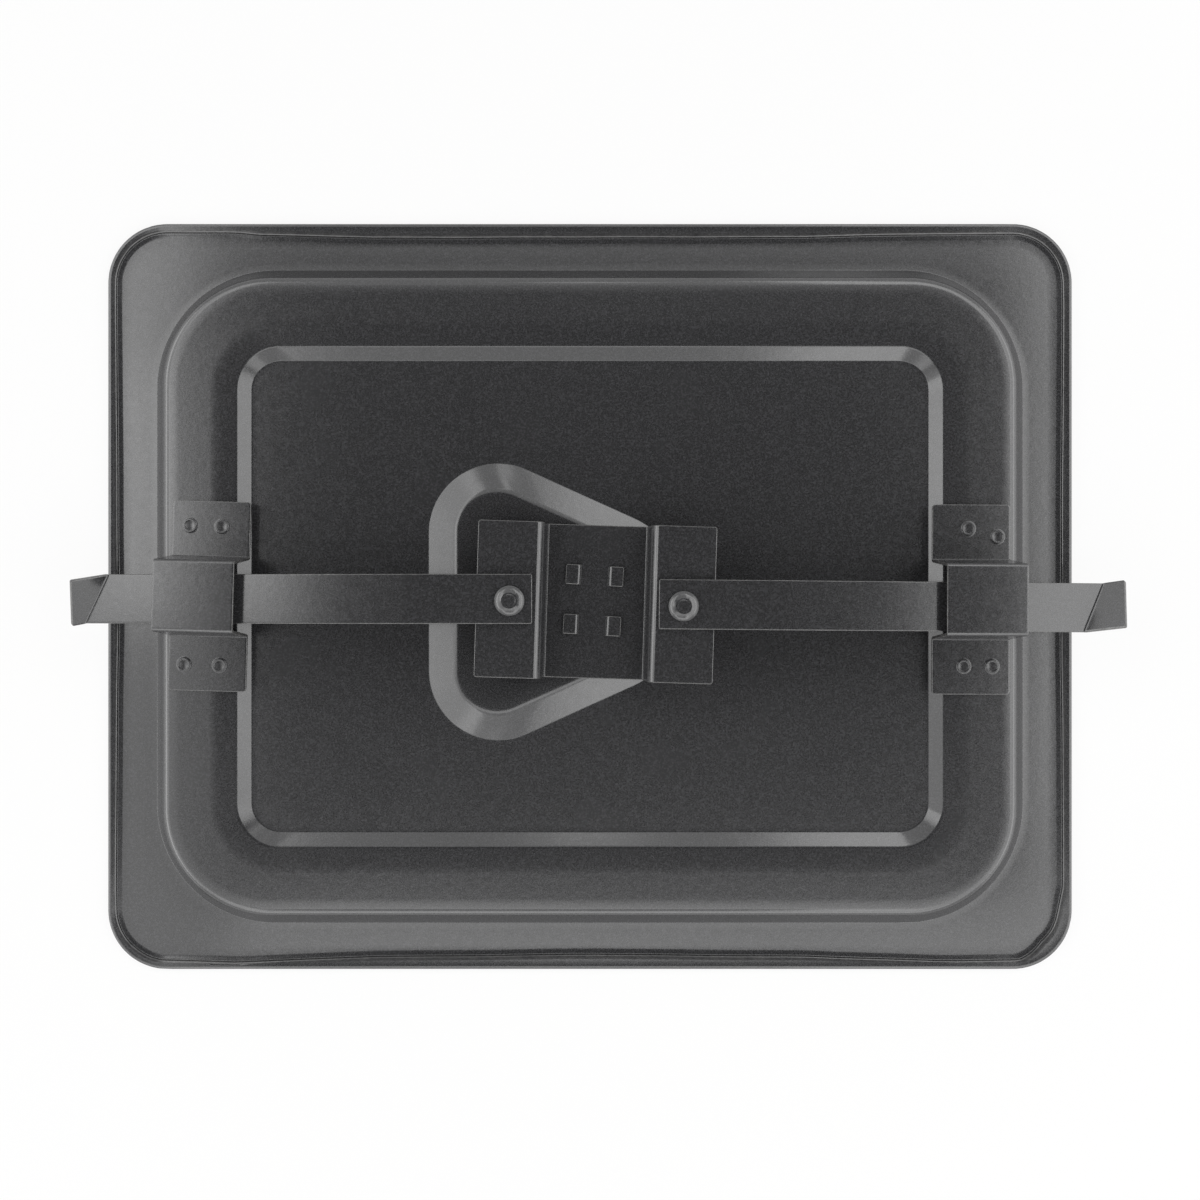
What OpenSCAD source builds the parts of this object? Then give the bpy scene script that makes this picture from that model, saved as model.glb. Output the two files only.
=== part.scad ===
// Twist-lock lid of a pressed-steel box, inner side up.
// The crank in the middle draws two flat strap bolts in and out through guides on the raised
// ring; a folding bail on the outer side turns it. Millimetres, +Z up; the lid rests on its
// hem at z = 0 and X runs along the bolts.

/* [Panel] */
// Length of the lid over its hem
lid_len = 260.4; // [240:0.2:300]
// Width of the lid over its hem
lid_wid = 201.4; // [185:0.2:240]
// Radius of the lid's corners
lid_corner = 16; // [12:0.5:20]
// Thickness of the pressed sheet
sheet = 0.8; // [0.6:0.1:1]
// Width of the hem folded onto the inner side
hem_wid = 3; // [2:0.1:5]
// Width of the flat flange outside the raised ring, at the two ends
flange_wid = 13.2; // [10:0.1:18]
// Width of the flat flange outside the raised ring, along the two sides
flange_side_wid = 12.5; // [10:0.1:18]
// Radius of the raised ring's corners at its foot
ring_corner = 32; // [26:0.5:38]
// Height of the ring above the flange
ring_rise = 6.1; // [5.5:0.1:8]
// Width of the ring's sloping outer wall
ring_wall = 4.3; // [3.5:0.1:7]
// Width of the ring at the two ends, from its foot to the floor's slope
ring_end_wid = 22.6; // [20:0.1:26]
// Width of the ring along the two sides, from its foot to the floor's slope
ring_side_wid = 21.2; // [18:0.1:26]
// Radius of the corners where the ring slopes down to the floor
floor_corner = 12; // [9:0.5:20]
// Depth of the floor below the ring
floor_drop = 2.4; // [1.5:0.1:2.6]
// Width of the slope between ring and floor
floor_slope = 4; // [3:0.1:6]

/* [Handle recess] */
// Rise of the recess, seen from inside as a plateau on the floor
recess_rise = 3; // [2.5:0.1:4]
// Width of the recess's sloping wall
recess_wall = 7; // [5:0.1:8]
// Radius of the recess around the hub, at its foot
recess_hub_r = 23.7; // [23.5:0.1:28]
// Radius of the recess's two grip-side corners, at their foot
recess_grip_r = 18.5; // [16:0.1:22]
// Distance from the hub to the centres of the grip-side corners, along the lid
recess_reach = 25.9; // [22:0.1:32]
// Half the distance between the centres of the grip-side corners
recess_half = 18.4; // [15:0.1:24]

/* [Hub] */
// Distance of the hub to the right of the lid's middle
hub_x = 1.4; // [-3:0.1:3]
// Distance of the hub above the lid's middle
hub_y = -1.4; // [-3:0.1:3]
// Outer radius of the hub's neck, which turns in the bearing
neck_r = 12; // [11.6:0.1:12.6]
// Radius of the hub's plate in the recess
hub_plate_r = 17.6; // [16.5:0.1:18]
// Thickness of the hub's sheet
hub_sheet = 1; // [0.8:0.1:1]
// Radial thickness of the bearing's sleeve
bearing_wall = 1; // [0.8:0.1:1.5]
// Thickness of the bearing's flange
bearing_flange = 0.6; // [0.5:0.1:0.8]
// Outer radius of the bearing's flange and of the inner thrust washer
washer_r = 16; // [15.4:0.1:16.4]
// Thickness of the inner thrust washer
inner_washer_t = 0.7; // [0.5:0.1:1]
// Thickness of the outer thrust washer
outer_washer_t = 0.6; // [0.4:0.1:0.7]
// Thickness of the friction washer's strip
friction_washer_t = 0.3; // [0.2:0.05:0.4]
// Working height that the friction washer's waves take up
friction_washer_h = 0.5; // [0.4:0.05:0.6]

/* [Bail handle] */
// Diameter of the bail's wire
wire_d = 2.4; // [2:0.1:2.4]
// Distance from the hub's axis to the bail's pivot
pivot_reach = 6; // [5:0.1:8]
// Thickness of the knuckle around the wire
knuckle_wall = 0.85; // [0.7:0.05:0.9]
// Length of each knuckle
knuckle_len = 5; // [3:0.1:6]
// Distance from the hub's axis to the inner end of each knuckle
knuckle_in = 7.5; // [6:0.1:9]
// Length of wire that shows inside each knuckle
pin_show = 0.5; // [0.2:0.1:1.5]
// Length of straight wire outside each knuckle
wire_lead = 1; // [0.5:0.1:3]
// Bend radius of the bail beside the knuckles
bail_bend = 4; // [3:0.1:6]
// Radius of the bail's two grip corners
grip_corner = 11.5; // [8:0.5:14]
// Distance from the hub's axis to the middle of the grip's wire
grip_reach = 37; // [32:0.5:38]
// Half the distance between the centres of the grip corners
grip_half = 17.5; // [14:0.5:20]

/* [Crank] */
// Length of the crank plate
crank_len = 61; // [56:0.5:66]
// Width of the crank plate
crank_wid = 40.2; // [34:0.2:44]
// Thickness of the crank plate
crank_sheet = 1; // [0.8:0.1:1.2]
// Half the length of the crank's sunk middle
crank_mid = 12.8; // [12:0.1:13]
// Half the length of the channel where the raised ends begin
crank_shoulder = 15; // [14.4:0.1:15.6]
// Height of the raised ends above the middle
crank_rise = 7.4; // [6:0.1:8.5]
// Distance from the hub's axis to each bolt's rivet, along the crank
crank_r = 22.1; // [21.5:0.1:23.5]
// Distance of the rivets below the crank's middle line
rivet_drop = 0.35; // [0:0.05:0.8]
// Turn of the crank from dead centre when locked, in degrees
crank_turn = -1.8; // [-4:0.1:4]
// Length of each clinched tab, away from the hub's axis
tab_len = 3.9; // [3:0.1:5]
// Width of each clinched tab
tab_wid = 5.3; // [4:0.1:6]
// Distance from the hub's axis to the middle of each tab, along the crank
tab_x = 5.6; // [5.2:0.1:6.2]
// Distance from the hub's axis to the middle of each tab, across the crank
tab_y = 6.5; // [5.6:0.1:6.6]

/* [Bolts] */
// Width of the flat strap
bolt_wid = 12.7; // [11:0.1:13.2]
// Thickness of the strap
bolt_t = 1; // [0.8:0.1:1.4]
// Length of strap inboard of its rivet
bolt_tail = 6; // [5:0.1:8]
// Distance from the lid's end back to the wing's crease
crease_set = 1.9; // [0:0.1:6]
// Distance from the rivet at which the strap starts to slope down
bolt_flat = 26; // [24:0.5:32]
// Slope of the strap towards the rim, in degrees
bolt_slope = 3.5; // [2:0.1:4.5]
// Distance of the strap's middle line from its rivet, across the strap
bolt_offset = 0.45; // [0:0.05:0.8]
// Turn of the left strap from the lid's long axis, in degrees
left_bolt_turn = 0; // [-1:0.1:1]
// Turn of the right strap from the lid's long axis, in degrees
right_bolt_turn = -0.5; // [-0.7:0.1:0.5]
// Length of the left wing beyond its crease, at the strap's middle
left_wing_len = 5.9; // [4:0.1:12]
// Length of the right wing beyond its crease, at the strap's middle
right_wing_len = 7.6; // [4:0.1:12]
// Angle at which the wing is bent up, in degrees
wing_bend = 57; // [40:1:75]
// Skew of the wing's crease across the strap, in degrees
wing_skew = 22; // [10:1:30]
// Inner radius of the wing's bend
wing_radius = 0.8; // [0.5:0.1:1.5]

/* [Rivets] */
// Radius of the rivets' shank
shank_r = 2.5; // [2:0.1:3]
// Radius of the rivets' domed head
head_r = 3.85; // [3.5:0.05:4.5]
// Height of the rivets' domed head
head_h = 1.5; // [1:0.1:1.8]
// Thickness of the washer between crank and strap
spacer_t = 0.5; // [0.3:0.1:0.8]
// Radius of the washer between crank and strap
spacer_r = 5.6; // [4.5:0.1:6]
// Thickness of the burr washer under the crank
burr_t = 0.6; // [0.5:0.1:1]
// Width of the burr washer's ring beyond the rivet's head
burr_wid = 1; // [0.6:0.1:1.6]
// Radius of the rivets' upset tail
tail_r = 3.5; // [3:0.1:4]
// Height of the rivets' upset tail
tail_h = 1; // [0.6:0.1:1.4]
// Radius of the sphere that the rivets' dome is cut from
dome_r = 6.1; // [5.8:0.1:8]
// Height of the flat crown cut from the top of the rivets' dome
crown_h = 0.2; // [0.1:0.05:0.4]

/* [Guides] */
// Length of each guide along its bolt
guide_len = 19.7; // [16:0.1:22]
// Distance from the lid's end to the middle of each guide
guide_set = 29.8; // [28.8:0.1:31.2]
// Distance of each weld button from the middle of the guide's length
button_x = 4.5; // [3:0.1:7]
// Distance of each weld button outside the bridge's base
button_y = 6.3; // [3:0.1:10]
// Half the width of each guide over its feet
guide_half = 25.1; // [20:0.1:28]
// Half the outer width of the guide's bridge at its base
bridge_base = 10.55; // [10.2:0.05:11.5]
// Half the outer width of the guide's bridge at its top
bridge_top = 9; // [8.9:0.05:9.6]
// Height of the bridge above the guide's feet
bridge_rise = 12; // [11.5:0.1:14]
// Thickness of the guide's sheet
guide_sheet = 0.8; // [0.6:0.1:0.9]
// Radius of the weld buttons on the guide's feet
button_r = 2; // [1.5:0.1:2.5]
// Height of the weld buttons
button_h = 0.5; // [0.3:0.1:0.8]
// Turn of the left guide from square, in degrees
left_guide_turn = -1.6; // [-2:0.1:2]
// Turn of the right guide from square, in degrees
right_guide_turn = -0.5; // [-2:0.1:2]
// Distance of the right guide above the lid's middle
right_guide_y = -0.9; // [-1.2:0.1:0]

/* [Fits] */
// Running clearance at a radius
run = 0.05; // [0.02:0.01:0.1]
// Play between parts that turn face to face
play = 0.05; // [0.02:0.01:0.15]
// Clearance of the tabs in their slots
slot_play = 0.1; // [0.05:0.01:0.2]
// Gap between the folded bail and the floor
bail_gap = 0.3; // [0.25:0.05:0.6]

/* [Hidden] */
$fn = 96;
enamel = "#2b2b2b";
bare_steel = "#8c8f92";
// Overlap of the stretches that make up one sheet, how much thinner a bend is drawn and how
// far a straight stretch runs on into it
lap = 0.6;
drawn = 0.02;
run_on = 0.1;
// How far a fold's bend runs on into the flats at both ends, in degrees
bend_more = 2;

// Corner directions of a rectangle, anticlockwise from the upper right
QUARTERS = [[1, 1], [-1, 1], [-1, -1], [1, -1]];

// An outline is a list of arcs [x, y, radius, first angle, last angle], anticlockwise
function box_arcs(half_x, half_y, r) =
    [for (i = [0 : 3])
        [QUARTERS[i][0] * (half_x - r), QUARTERS[i][1] * (half_y - r), r, 90 * i, 90 * i + 90]];
function shrunk(arcs, by) = [for (a = arcs) [a[0], a[1], a[2] - by, a[3], a[4]]];
function arc_point(a, angle) = [a[0] + a[2] * cos(angle), a[1] + a[2] * sin(angle)];
function arc_ends(arcs) = [for (a = arcs, k = [3, 4]) arc_point(a, a[k])];
// Direction of the outward normal on the common tangent of two circles, the first nearer +X
function tangent_angle(c1, r1, c2, r2) =
    let (d = c1 - c2) atan2(d[1], d[0]) + acos((r2 - r1) / norm(d));

// Section of a sloping step in the sheet: x runs outward from the outline, y is height.
// It laps a little way over the flat stretches on both sides and is drawn thinner by thin on
// each face.
function step_section(wid, z_out, z_in, thin = 0) =
    let (lean = sheet * tan(atan2(z_in - z_out, wid) / 2), over = lap - thin,
         under = thin, top = sheet - thin)
    [[over, z_out + under], [over, z_out + top], [0, z_out + top], [-wid, z_in + top],
     [-wid - over, z_in + top], [-wid - over, z_in + under], [-wid - lean, z_in + under],
     [-lean, z_out + under]];

// Heights of the panel's under surfaces above the hem
ring_z = ring_rise;
floor_z = ring_z - floor_drop;
recess_z = floor_z + recess_rise;

// Outlines of the panel's steps
rim_arcs = box_arcs(lid_len / 2, lid_wid / 2, lid_corner);
ring_half_x = lid_len / 2 - flange_wid;
ring_half_y = lid_wid / 2 - flange_side_wid;
ring_arcs = box_arcs(ring_half_x, ring_half_y, ring_corner);
floor_arcs = box_arcs(ring_half_x - ring_end_wid, ring_half_y - ring_side_wid, floor_corner);
recess_far = [-recess_reach, recess_half];
recess_angle = tangent_angle([0, 0], recess_hub_r, recess_far, recess_grip_r);
recess_arcs = [
    [0, 0, recess_hub_r, -recess_angle, recess_angle],
    [recess_far[0], recess_far[1], recess_grip_r, recess_angle, 180],
    [recess_far[0], -recess_far[1], recess_grip_r, 180, 360 - recess_angle]];

// Places of the guides and of the wings' creases along the lid
guide_x = lid_len / 2 - guide_set;
bolt_len = lid_len / 2 - crank_r - crease_set;

// Heights of the hub's stack
bearing_top = recess_z + sheet + bearing_flange;
crank_z = bearing_top + inner_washer_t + play;
neck_bore = neck_r - hub_sheet;
hub_plate_top = recess_z - outer_washer_t - friction_washer_h;
hub_plate_z = hub_plate_top - hub_sheet;
flange_top = crank_z + crank_sheet + crank_rise;
bolt_z = flange_top + spacer_t;
head_z = bolt_z + bolt_t + play;

// The bail's wire lies just under the floor
wire_r = wire_d / 2;
wire_z = floor_z - bail_gap - wire_r;
knuckle_r = wire_r + knuckle_wall;
bail_start = knuckle_in + knuckle_len + wire_lead;
bail_near = [-pivot_reach - bail_bend, bail_start];
bail_far = [grip_corner - grip_reach, grip_half];
bail_angle = tangent_angle(bail_near, bail_bend, bail_far, grip_corner);
bail_arcs = [
    [bail_near[0], bail_near[1], bail_bend, 0, bail_angle],
    [bail_far[0], bail_far[1], grip_corner, bail_angle, 180],
    [bail_far[0], -bail_far[1], grip_corner, 180, 360 - bail_angle],
    [bail_near[0], -bail_near[1], bail_bend, 360 - bail_angle, 360]];

// Area inside an outline; its straight edges are drawn a little inside the circles' tangents
module outline(arcs) {
    polygon(arc_ends(shrunk(arcs, drawn)));
    for (a = arcs) translate([a[0], a[1]]) circle(r = a[2]);
}

// Children, drawn as x outward and y up, carried round the arcs of an outline
module along_arcs(arcs) {
    for (a = arcs)
        translate([a[0], a[1], 0]) rotate(a[3])
            rotate_extrude(angle = a[4] - a[3]) translate([a[2], 0]) children();
}

// The same section carried along the straight lines that join arcs i and i + 1, each running
// on past both ends by extra
module along_lines(arcs, last, extra = 0) {
    for (i = [0 : last]) {
        from = arcs[i];
        to = arcs[(i + 1) % len(arcs)];
        start = arc_point(from, from[4]);
        length = norm(arc_point(to, to[3]) - start);
        translate([start[0], start[1], 0]) rotate(from[4]) translate([0, length + extra, 0])
            rotate([90, 0, 0]) linear_extrude(length + 2 * extra) children();
    }
}

// A closed outline's section, all the way round
module around(arcs) {
    along_arcs(arcs) children();
    along_lines(arcs, len(arcs) - 1) children();
}

// A sloping step round an outline with odd angles: its corners are drawn a little thinner
// than its straight stretches, which run on into them and are a little thinner than the flats
module odd_step(arcs, wid, z_out, z_in) {
    along_arcs(arcs) polygon(step_section(wid, z_out, z_in, drawn));
    along_lines(arcs, len(arcs) - 1, run_on) polygon(step_section(wid, z_out, z_in, drawn / 2));
}

// A flat stretch of sheet inside an outline, less its children's area
module flat_sheet(z, arcs) {
    translate([0, 0, z]) linear_extrude(sheet) difference() {
        outline(shrunk(arcs, lap / 2));
        children();
    }
}

// Area that a step's outline cuts from the sheet around it
module inside(arcs) { outline(shrunk(arcs, -lap / 2)); }

// Ring with its under face at z
module washer(r_out, r_in, z, t) {
    translate([0, 0, z]) difference() {
        cylinder(r = r_out, h = t);
        translate([0, 0, -1]) cylinder(r = r_in, h = t + 2);
    }
}

module at_hub() { translate([hub_x, hub_y, 0]) children(); }
module on_crank() { at_hub() rotate(crank_turn) children(); }
// Side is -1 for the left rivet and 1 for the right one
module at_rivet(side) { on_crank() translate([side * crank_r, -rivet_drop, 0]) children(); }

module hem_section() {
    translate([-sheet, sheet]) circle(r = sheet);
    translate([-hem_wid, sheet]) square([hem_wid - sheet, sheet]);
    translate([-hem_wid, 0]) square([hem_wid - sheet, sheet]);
}

module lid_panel() {
    color(enamel) difference() {
        union() {
            around(rim_arcs) hem_section();
            flat_sheet(0, shrunk(rim_arcs, sheet)) inside(ring_arcs);
            around(ring_arcs) polygon(step_section(ring_wall, 0, ring_z));
            flat_sheet(ring_z, shrunk(ring_arcs, ring_wall)) inside(floor_arcs);
            around(floor_arcs) polygon(step_section(floor_slope, ring_z, floor_z));
            flat_sheet(floor_z, shrunk(floor_arcs, floor_slope))
                translate([hub_x, hub_y]) inside(recess_arcs);
            at_hub() {
                odd_step(recess_arcs, recess_wall, floor_z, recess_z);
                flat_sheet(recess_z, shrunk(recess_arcs, recess_wall));
            }
        }
        at_hub() translate([0, 0, recess_z - 1])
            cylinder(r = neck_r + run + bearing_wall, h = sheet + 2);
    }
}

// Half of the guide's hat section, as [distance from the middle, height above its feet]
guide_lean = guide_sheet * (bridge_base - bridge_top) / bridge_rise;
guide_hat = [
    [bridge_base - guide_sheet, 0], [guide_half, 0], [guide_half, guide_sheet],
    [bridge_base, guide_sheet], [bridge_top, guide_sheet + bridge_rise],
    [0, guide_sheet + bridge_rise], [0, bridge_rise],
    [bridge_top - guide_sheet, bridge_rise], [bridge_base - guide_sheet, guide_lean]];

module guide() {
    for (half = [0, 1]) mirror([0, half, 0]) {
        translate([-guide_len / 2, 0, 0]) rotate([90, 0, 90]) linear_extrude(guide_len)
            polygon(guide_hat);
        for (side = [-1, 1])
            translate([side * button_x, bridge_base + button_y, guide_sheet])
                weld_button();
    }
}

// Shallow dome where the guide's foot is spot-clinched to the ring
module weld_button() {
    ball_r = (button_r * button_r + button_h * button_h) / (2 * button_h);
    intersection() {
        translate([0, 0, button_h - ball_r]) sphere(r = ball_r);
        translate([0, 0, -guide_sheet / 2]) cylinder(r = button_r, h = guide_sheet);
    }
}

module left_guide() {
    color(enamel) translate([-guide_x, 0, ring_z + sheet]) rotate(left_guide_turn) guide();
}

module right_guide() {
    color(enamel) translate([guide_x, right_guide_y, ring_z + sheet])
        rotate(right_guide_turn) guide();
}

// Flanged sleeve that lines the hole in the recess
module hub_bearing() {
    color(bare_steel) at_hub() {
        washer(neck_r + run + bearing_wall, neck_r + run, recess_z, sheet + bearing_flange);
        washer(washer_r, neck_r + run, recess_z + sheet, bearing_flange);
    }
}

module inner_thrust_washer() {
    color(bare_steel) at_hub()
        washer(washer_r, neck_r + 2 * run, bearing_top, inner_washer_t);
}

module outer_thrust_washer() {
    color(bare_steel) at_hub()
        washer(washer_r, neck_r + 2 * run, recess_z - outer_washer_t, outer_washer_t);
}

// Spring strip with a crest at each third of the turn, pressed nearly flat
module friction_washer() {
    crest = friction_washer_h - friction_washer_t;
    wide = washer_r - neck_r;
    color(bare_steel) at_hub() {
        washer(washer_r, neck_r + 2 * run, hub_plate_top + crest / 2, friction_washer_t);
        for (i = [0 : 5])
            rotate(60 * i) translate([neck_r + wide / 2, 0, hub_plate_top + (i % 2) * crest / 2])
                cylinder(r = wide / 4, h = crest / 2 + friction_washer_t);
    }
}

// One tab: it rises through its slot and is folded outward onto the crank
module clinch_tab() {
    root = tab_x - tab_len / 2;
    top = crank_z + crank_sheet;
    translate([root, tab_y - tab_wid / 2, crank_z - hub_sheet])
        cube([hub_sheet, tab_wid, crank_sheet + hub_sheet]);
    translate([root + hub_sheet, tab_y - tab_wid / 2, top])
        cube([tab_len - hub_sheet, tab_wid, hub_sheet]);
    intersection() {
        translate([root + hub_sheet, tab_y - tab_wid / 2, top]) rotate([-90, 0, 0])
            cylinder(r = hub_sheet, h = tab_wid);
        translate([root, tab_y - tab_wid / 2, top]) cube([hub_sheet, tab_wid, hub_sheet]);
    }
}

// Knuckle under the hub's plate that holds one end of the bail
module knuckle() {
    translate([-pivot_reach, knuckle_in, wire_z]) difference() {
        union() {
            rotate([-90, 0, 0]) cylinder(r = knuckle_r, h = knuckle_len);
            translate([-knuckle_r, 0, 0])
                cube([2 * knuckle_r, knuckle_len, hub_plate_z - wire_z]);
        }
        translate([0, -1, 0]) rotate([-90, 0, 0]) cylinder(r = wire_r + run, h = knuckle_len + 2);
    }
}

module handle_hub() {
    color(enamel) on_crank() {
        difference() {
            union() {
                translate([0, 0, hub_plate_z]) cylinder(r = hub_plate_r, h = hub_sheet);
                translate([0, 0, hub_plate_z]) cylinder(r = neck_r, h = crank_z - hub_plate_z);
            }
            translate([0, 0, hub_plate_z - 1])
                cylinder(r = neck_bore, h = crank_z - hub_sheet - hub_plate_z + 1);
        }
        for (mx = [0, 1], my = [0, 1]) mirror([mx, 0, 0]) mirror([0, my, 0]) clinch_tab();
        for (my = [0, 1]) mirror([0, my, 0]) knuckle();
    }
}

// Bent wire: its bends are drawn a little thinner than its straight stretches
module bail_handle() {
    pin_end = knuckle_in - pin_show;
    color(enamel) on_crank() translate([0, 0, wire_z]) {
        along_arcs(bail_arcs) circle(r = wire_r - drawn);
        along_lines(bail_arcs, 2, run_on) circle(r = wire_r);
        for (my = [0, 1]) mirror([0, my, 0])
            translate([-pivot_reach, pin_end, 0]) rotate([-90, 0, 0])
                cylinder(r = wire_r, h = bail_start - pin_end + run_on);
    }
}

// Half of the crank's section, as [distance from the hub's axis, height]
crank_lean = crank_sheet * tan(atan2(crank_rise, crank_shoulder - crank_mid) / 2);
crank_section = [
    [0, 0], [crank_mid + crank_lean, 0], [crank_shoulder + crank_lean, crank_rise],
    [crank_len / 2, crank_rise], [crank_len / 2, crank_rise + crank_sheet],
    [crank_shoulder, crank_rise + crank_sheet], [crank_mid, crank_sheet], [0, crank_sheet]];

module crank_plate() {
    root = tab_x - tab_len / 2;
    color(enamel) on_crank() translate([0, 0, crank_z]) difference() {
        for (mx = [0, 1]) mirror([mx, 0, 0])
            translate([0, crank_wid / 2, 0]) rotate([90, 0, 0])
                linear_extrude(crank_wid) polygon(crank_section);
        for (mx = [0, 1], my = [0, 1]) mirror([mx, 0, 0]) mirror([0, my, 0])
            translate([root - slot_play, tab_y - tab_wid / 2 - slot_play, -1])
                cube([hub_sheet + 2 * slot_play, tab_wid + 2 * slot_play, crank_sheet + 2]);
        for (side = [-1, 1])
            translate([side * crank_r, -rivet_drop, crank_rise - 1])
                cylinder(r = shank_r, h = crank_sheet + 2);
    }
}

// Domed head, shank and upset tail; the tail grips the burr washer under the crank
module rivet(side) {
    tail_z = flange_top - crank_sheet - burr_t - tail_h;
    color(enamel) at_rivet(side) {
        translate([0, 0, tail_z]) cylinder(r = shank_r, h = head_z - tail_z);
        translate([0, 0, tail_z]) cylinder(r = tail_r, h = tail_h);
        intersection() {
            translate([0, 0, head_z + head_h + crown_h - dome_r]) sphere(r = dome_r);
            translate([0, 0, head_z]) cylinder(r = head_r, h = head_h);
        }
    }
}

module left_rivet() { rivet(-1); }
module right_rivet() { rivet(1); }

module burr_washer(side) {
    color(bare_steel) at_rivet(side)
        washer(head_r + burr_wid, shank_r, flange_top - crank_sheet - burr_t, burr_t);
}

module left_burr_washer() { burr_washer(-1); }
module right_burr_washer() { burr_washer(1); }

// Washer between crank and strap; it turns with the strap
module spacer_washer(side) {
    color(bare_steel) at_rivet(side)
        washer(spacer_r, shank_r + run, flange_top, spacer_t);
}

module left_spacer_washer() { spacer_washer(-1); }
module right_spacer_washer() { spacer_washer(1); }

// Strap bolt with its rivet hole on the origin and its wing towards +X; shift moves the
// strap's middle line to one side of the hole
module bolt(shift, wing_len) {
    slope_len = (bolt_len - bolt_flat) / cos(bolt_slope);
    far = slope_len + bolt_wid;
    side_view = [
        [-bolt_tail, 0], [bolt_flat, 0],
        [bolt_flat + far * cos(bolt_slope), -far * sin(bolt_slope)],
        [bolt_flat + far * cos(bolt_slope) + bolt_t * sin(bolt_slope),
         -far * sin(bolt_slope) + bolt_t * cos(bolt_slope)],
        [bolt_flat + bolt_t * tan(bolt_slope / 2), bolt_t], [-bolt_tail, bolt_t]];
    translate([0, shift, 0]) {
        difference() {
            translate([0, bolt_wid / 2, 0]) rotate([90, 0, 0])
                linear_extrude(bolt_wid) polygon(side_view);
            translate([0, -shift, -1]) cylinder(r = shank_r + run, h = bolt_t + 2);
            on_crease(slope_len) translate([0, -bolt_wid, -far]) cube([far, 2 * bolt_wid, 2 * far]);
        }
        intersection() {
            translate([0, -bolt_wid / 2, -far]) cube([2 * bolt_len, bolt_wid, 2 * far]);
            on_crease(slope_len) translate([0, bolt_wid, bolt_t + wing_radius])
                rotate([90, 0, 0]) linear_extrude(2 * bolt_wid) bend_section();
        }
        on_crease(slope_len) wing(wing_len);
    }
}

// Frame on the strap's slope: X square to the crease and away from the rivet, Z off the sheet
module on_crease(slope_len) {
    translate([bolt_flat, 0, 0]) rotate([0, bolt_slope, 0]) translate([slope_len, 0, 0])
        rotate(-wing_skew) children();
}

// The strap's end beyond the crease, turned up about the bend's axis
module wing(wing_len) {
    axis_z = bolt_t + wing_radius;
    wide = 2 * bolt_wid;
    translate([0, 0, axis_z]) rotate([0, -wing_bend, 0]) translate([0, 0, -axis_z])
        linear_extrude(bolt_t) intersection() {
            rotate(wing_skew) translate([-wide, -bolt_wid / 2]) square([wide + wing_len, bolt_wid]);
            translate([0, -wide / 2]) square([wide, wide]);
        }
}

// Ring sector of sheet round the bend's axis, a little thin and a little long at both ends
module bend_section() {
    far = 3 * (wing_radius + bolt_t);
    half = wing_bend / 2 + bend_more;
    rotate(wing_bend / 2) intersection() {
        difference() {
            circle(r = wing_radius + bolt_t - drawn);
            circle(r = wing_radius + drawn);
        }
        polygon([[0, 0], [-far * sin(half), -far * cos(half)], [0, -far],
                 [far * sin(half), -far * cos(half)]]);
    }
}

// A bolt in place: side is -1 for the left one, which is the right one turned half round
module placed_bolt(side, turn, wing_len) {
    reach = side * crank_r;
    rivet_at = [hub_x + reach * cos(crank_turn) + rivet_drop * sin(crank_turn),
                hub_y + reach * sin(crank_turn) - rivet_drop * cos(crank_turn)];
    color(enamel) translate([rivet_at[0], rivet_at[1], bolt_z])
        rotate(turn + (side < 0 ? 180 : 0)) bolt(side * bolt_offset, wing_len);
}

module left_bolt() { placed_bolt(-1, left_bolt_turn, left_wing_len); }
module right_bolt() { placed_bolt(1, right_bolt_turn, right_wing_len); }

lid_panel();
left_guide();
right_guide();
hub_bearing();
inner_thrust_washer();
outer_thrust_washer();
friction_washer();
handle_hub();
bail_handle();
crank_plate();
left_rivet();
right_rivet();
left_burr_washer();
right_burr_washer();
left_bolt();
right_bolt();
left_spacer_washer();
right_spacer_washer();
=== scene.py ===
"""Looks of the twist-lock lid of a steel lunch box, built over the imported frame.

Each sub-assembly is a class that works its surfaces out with numpy, in millimetres, and hangs
them on the body that carries them.  The lid lies inner side up with its hem on z = 0, X along
the bolts.
"""

import logging
import math
from dataclasses import dataclass, field
from enum import Enum

import bmesh
import bpy
import numpy as np
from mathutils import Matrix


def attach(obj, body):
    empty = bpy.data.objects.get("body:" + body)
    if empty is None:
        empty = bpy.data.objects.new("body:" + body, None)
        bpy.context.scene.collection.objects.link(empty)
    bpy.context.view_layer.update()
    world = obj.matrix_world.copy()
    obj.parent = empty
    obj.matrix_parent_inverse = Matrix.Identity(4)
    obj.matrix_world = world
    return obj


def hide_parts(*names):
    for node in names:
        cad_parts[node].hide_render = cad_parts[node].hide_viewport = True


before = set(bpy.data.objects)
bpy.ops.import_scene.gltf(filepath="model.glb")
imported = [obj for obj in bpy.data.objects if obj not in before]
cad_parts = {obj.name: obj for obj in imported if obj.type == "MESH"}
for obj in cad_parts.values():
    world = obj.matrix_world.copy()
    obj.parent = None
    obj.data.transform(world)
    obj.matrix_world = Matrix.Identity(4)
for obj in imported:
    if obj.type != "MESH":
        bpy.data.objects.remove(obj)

LOG = logging.getLogger("lid")
# millimetres to the scene's metres
MM = 0.001
# the hub's axis, from the lid's middle
HUB = np.array([1.4, -1.4])
# the hole in the panel, which the bearing's sleeve fills
SLEEVE_R = 13.05
# how far past dead centre the locked crank rests
CRANK_TURN = math.radians(-1.8)
# underside of the crank's sunk middle, its thickness, and how far its ends rise
CRANK_LOW = 8.85
CRANK_T = 1.0
CRANK_RISE = 7.4
# rivets: distance from the hub along the crank, and below the crank's middle line
RIVET_REACH = 22.1
RIVET_DROP = 0.35
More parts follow.
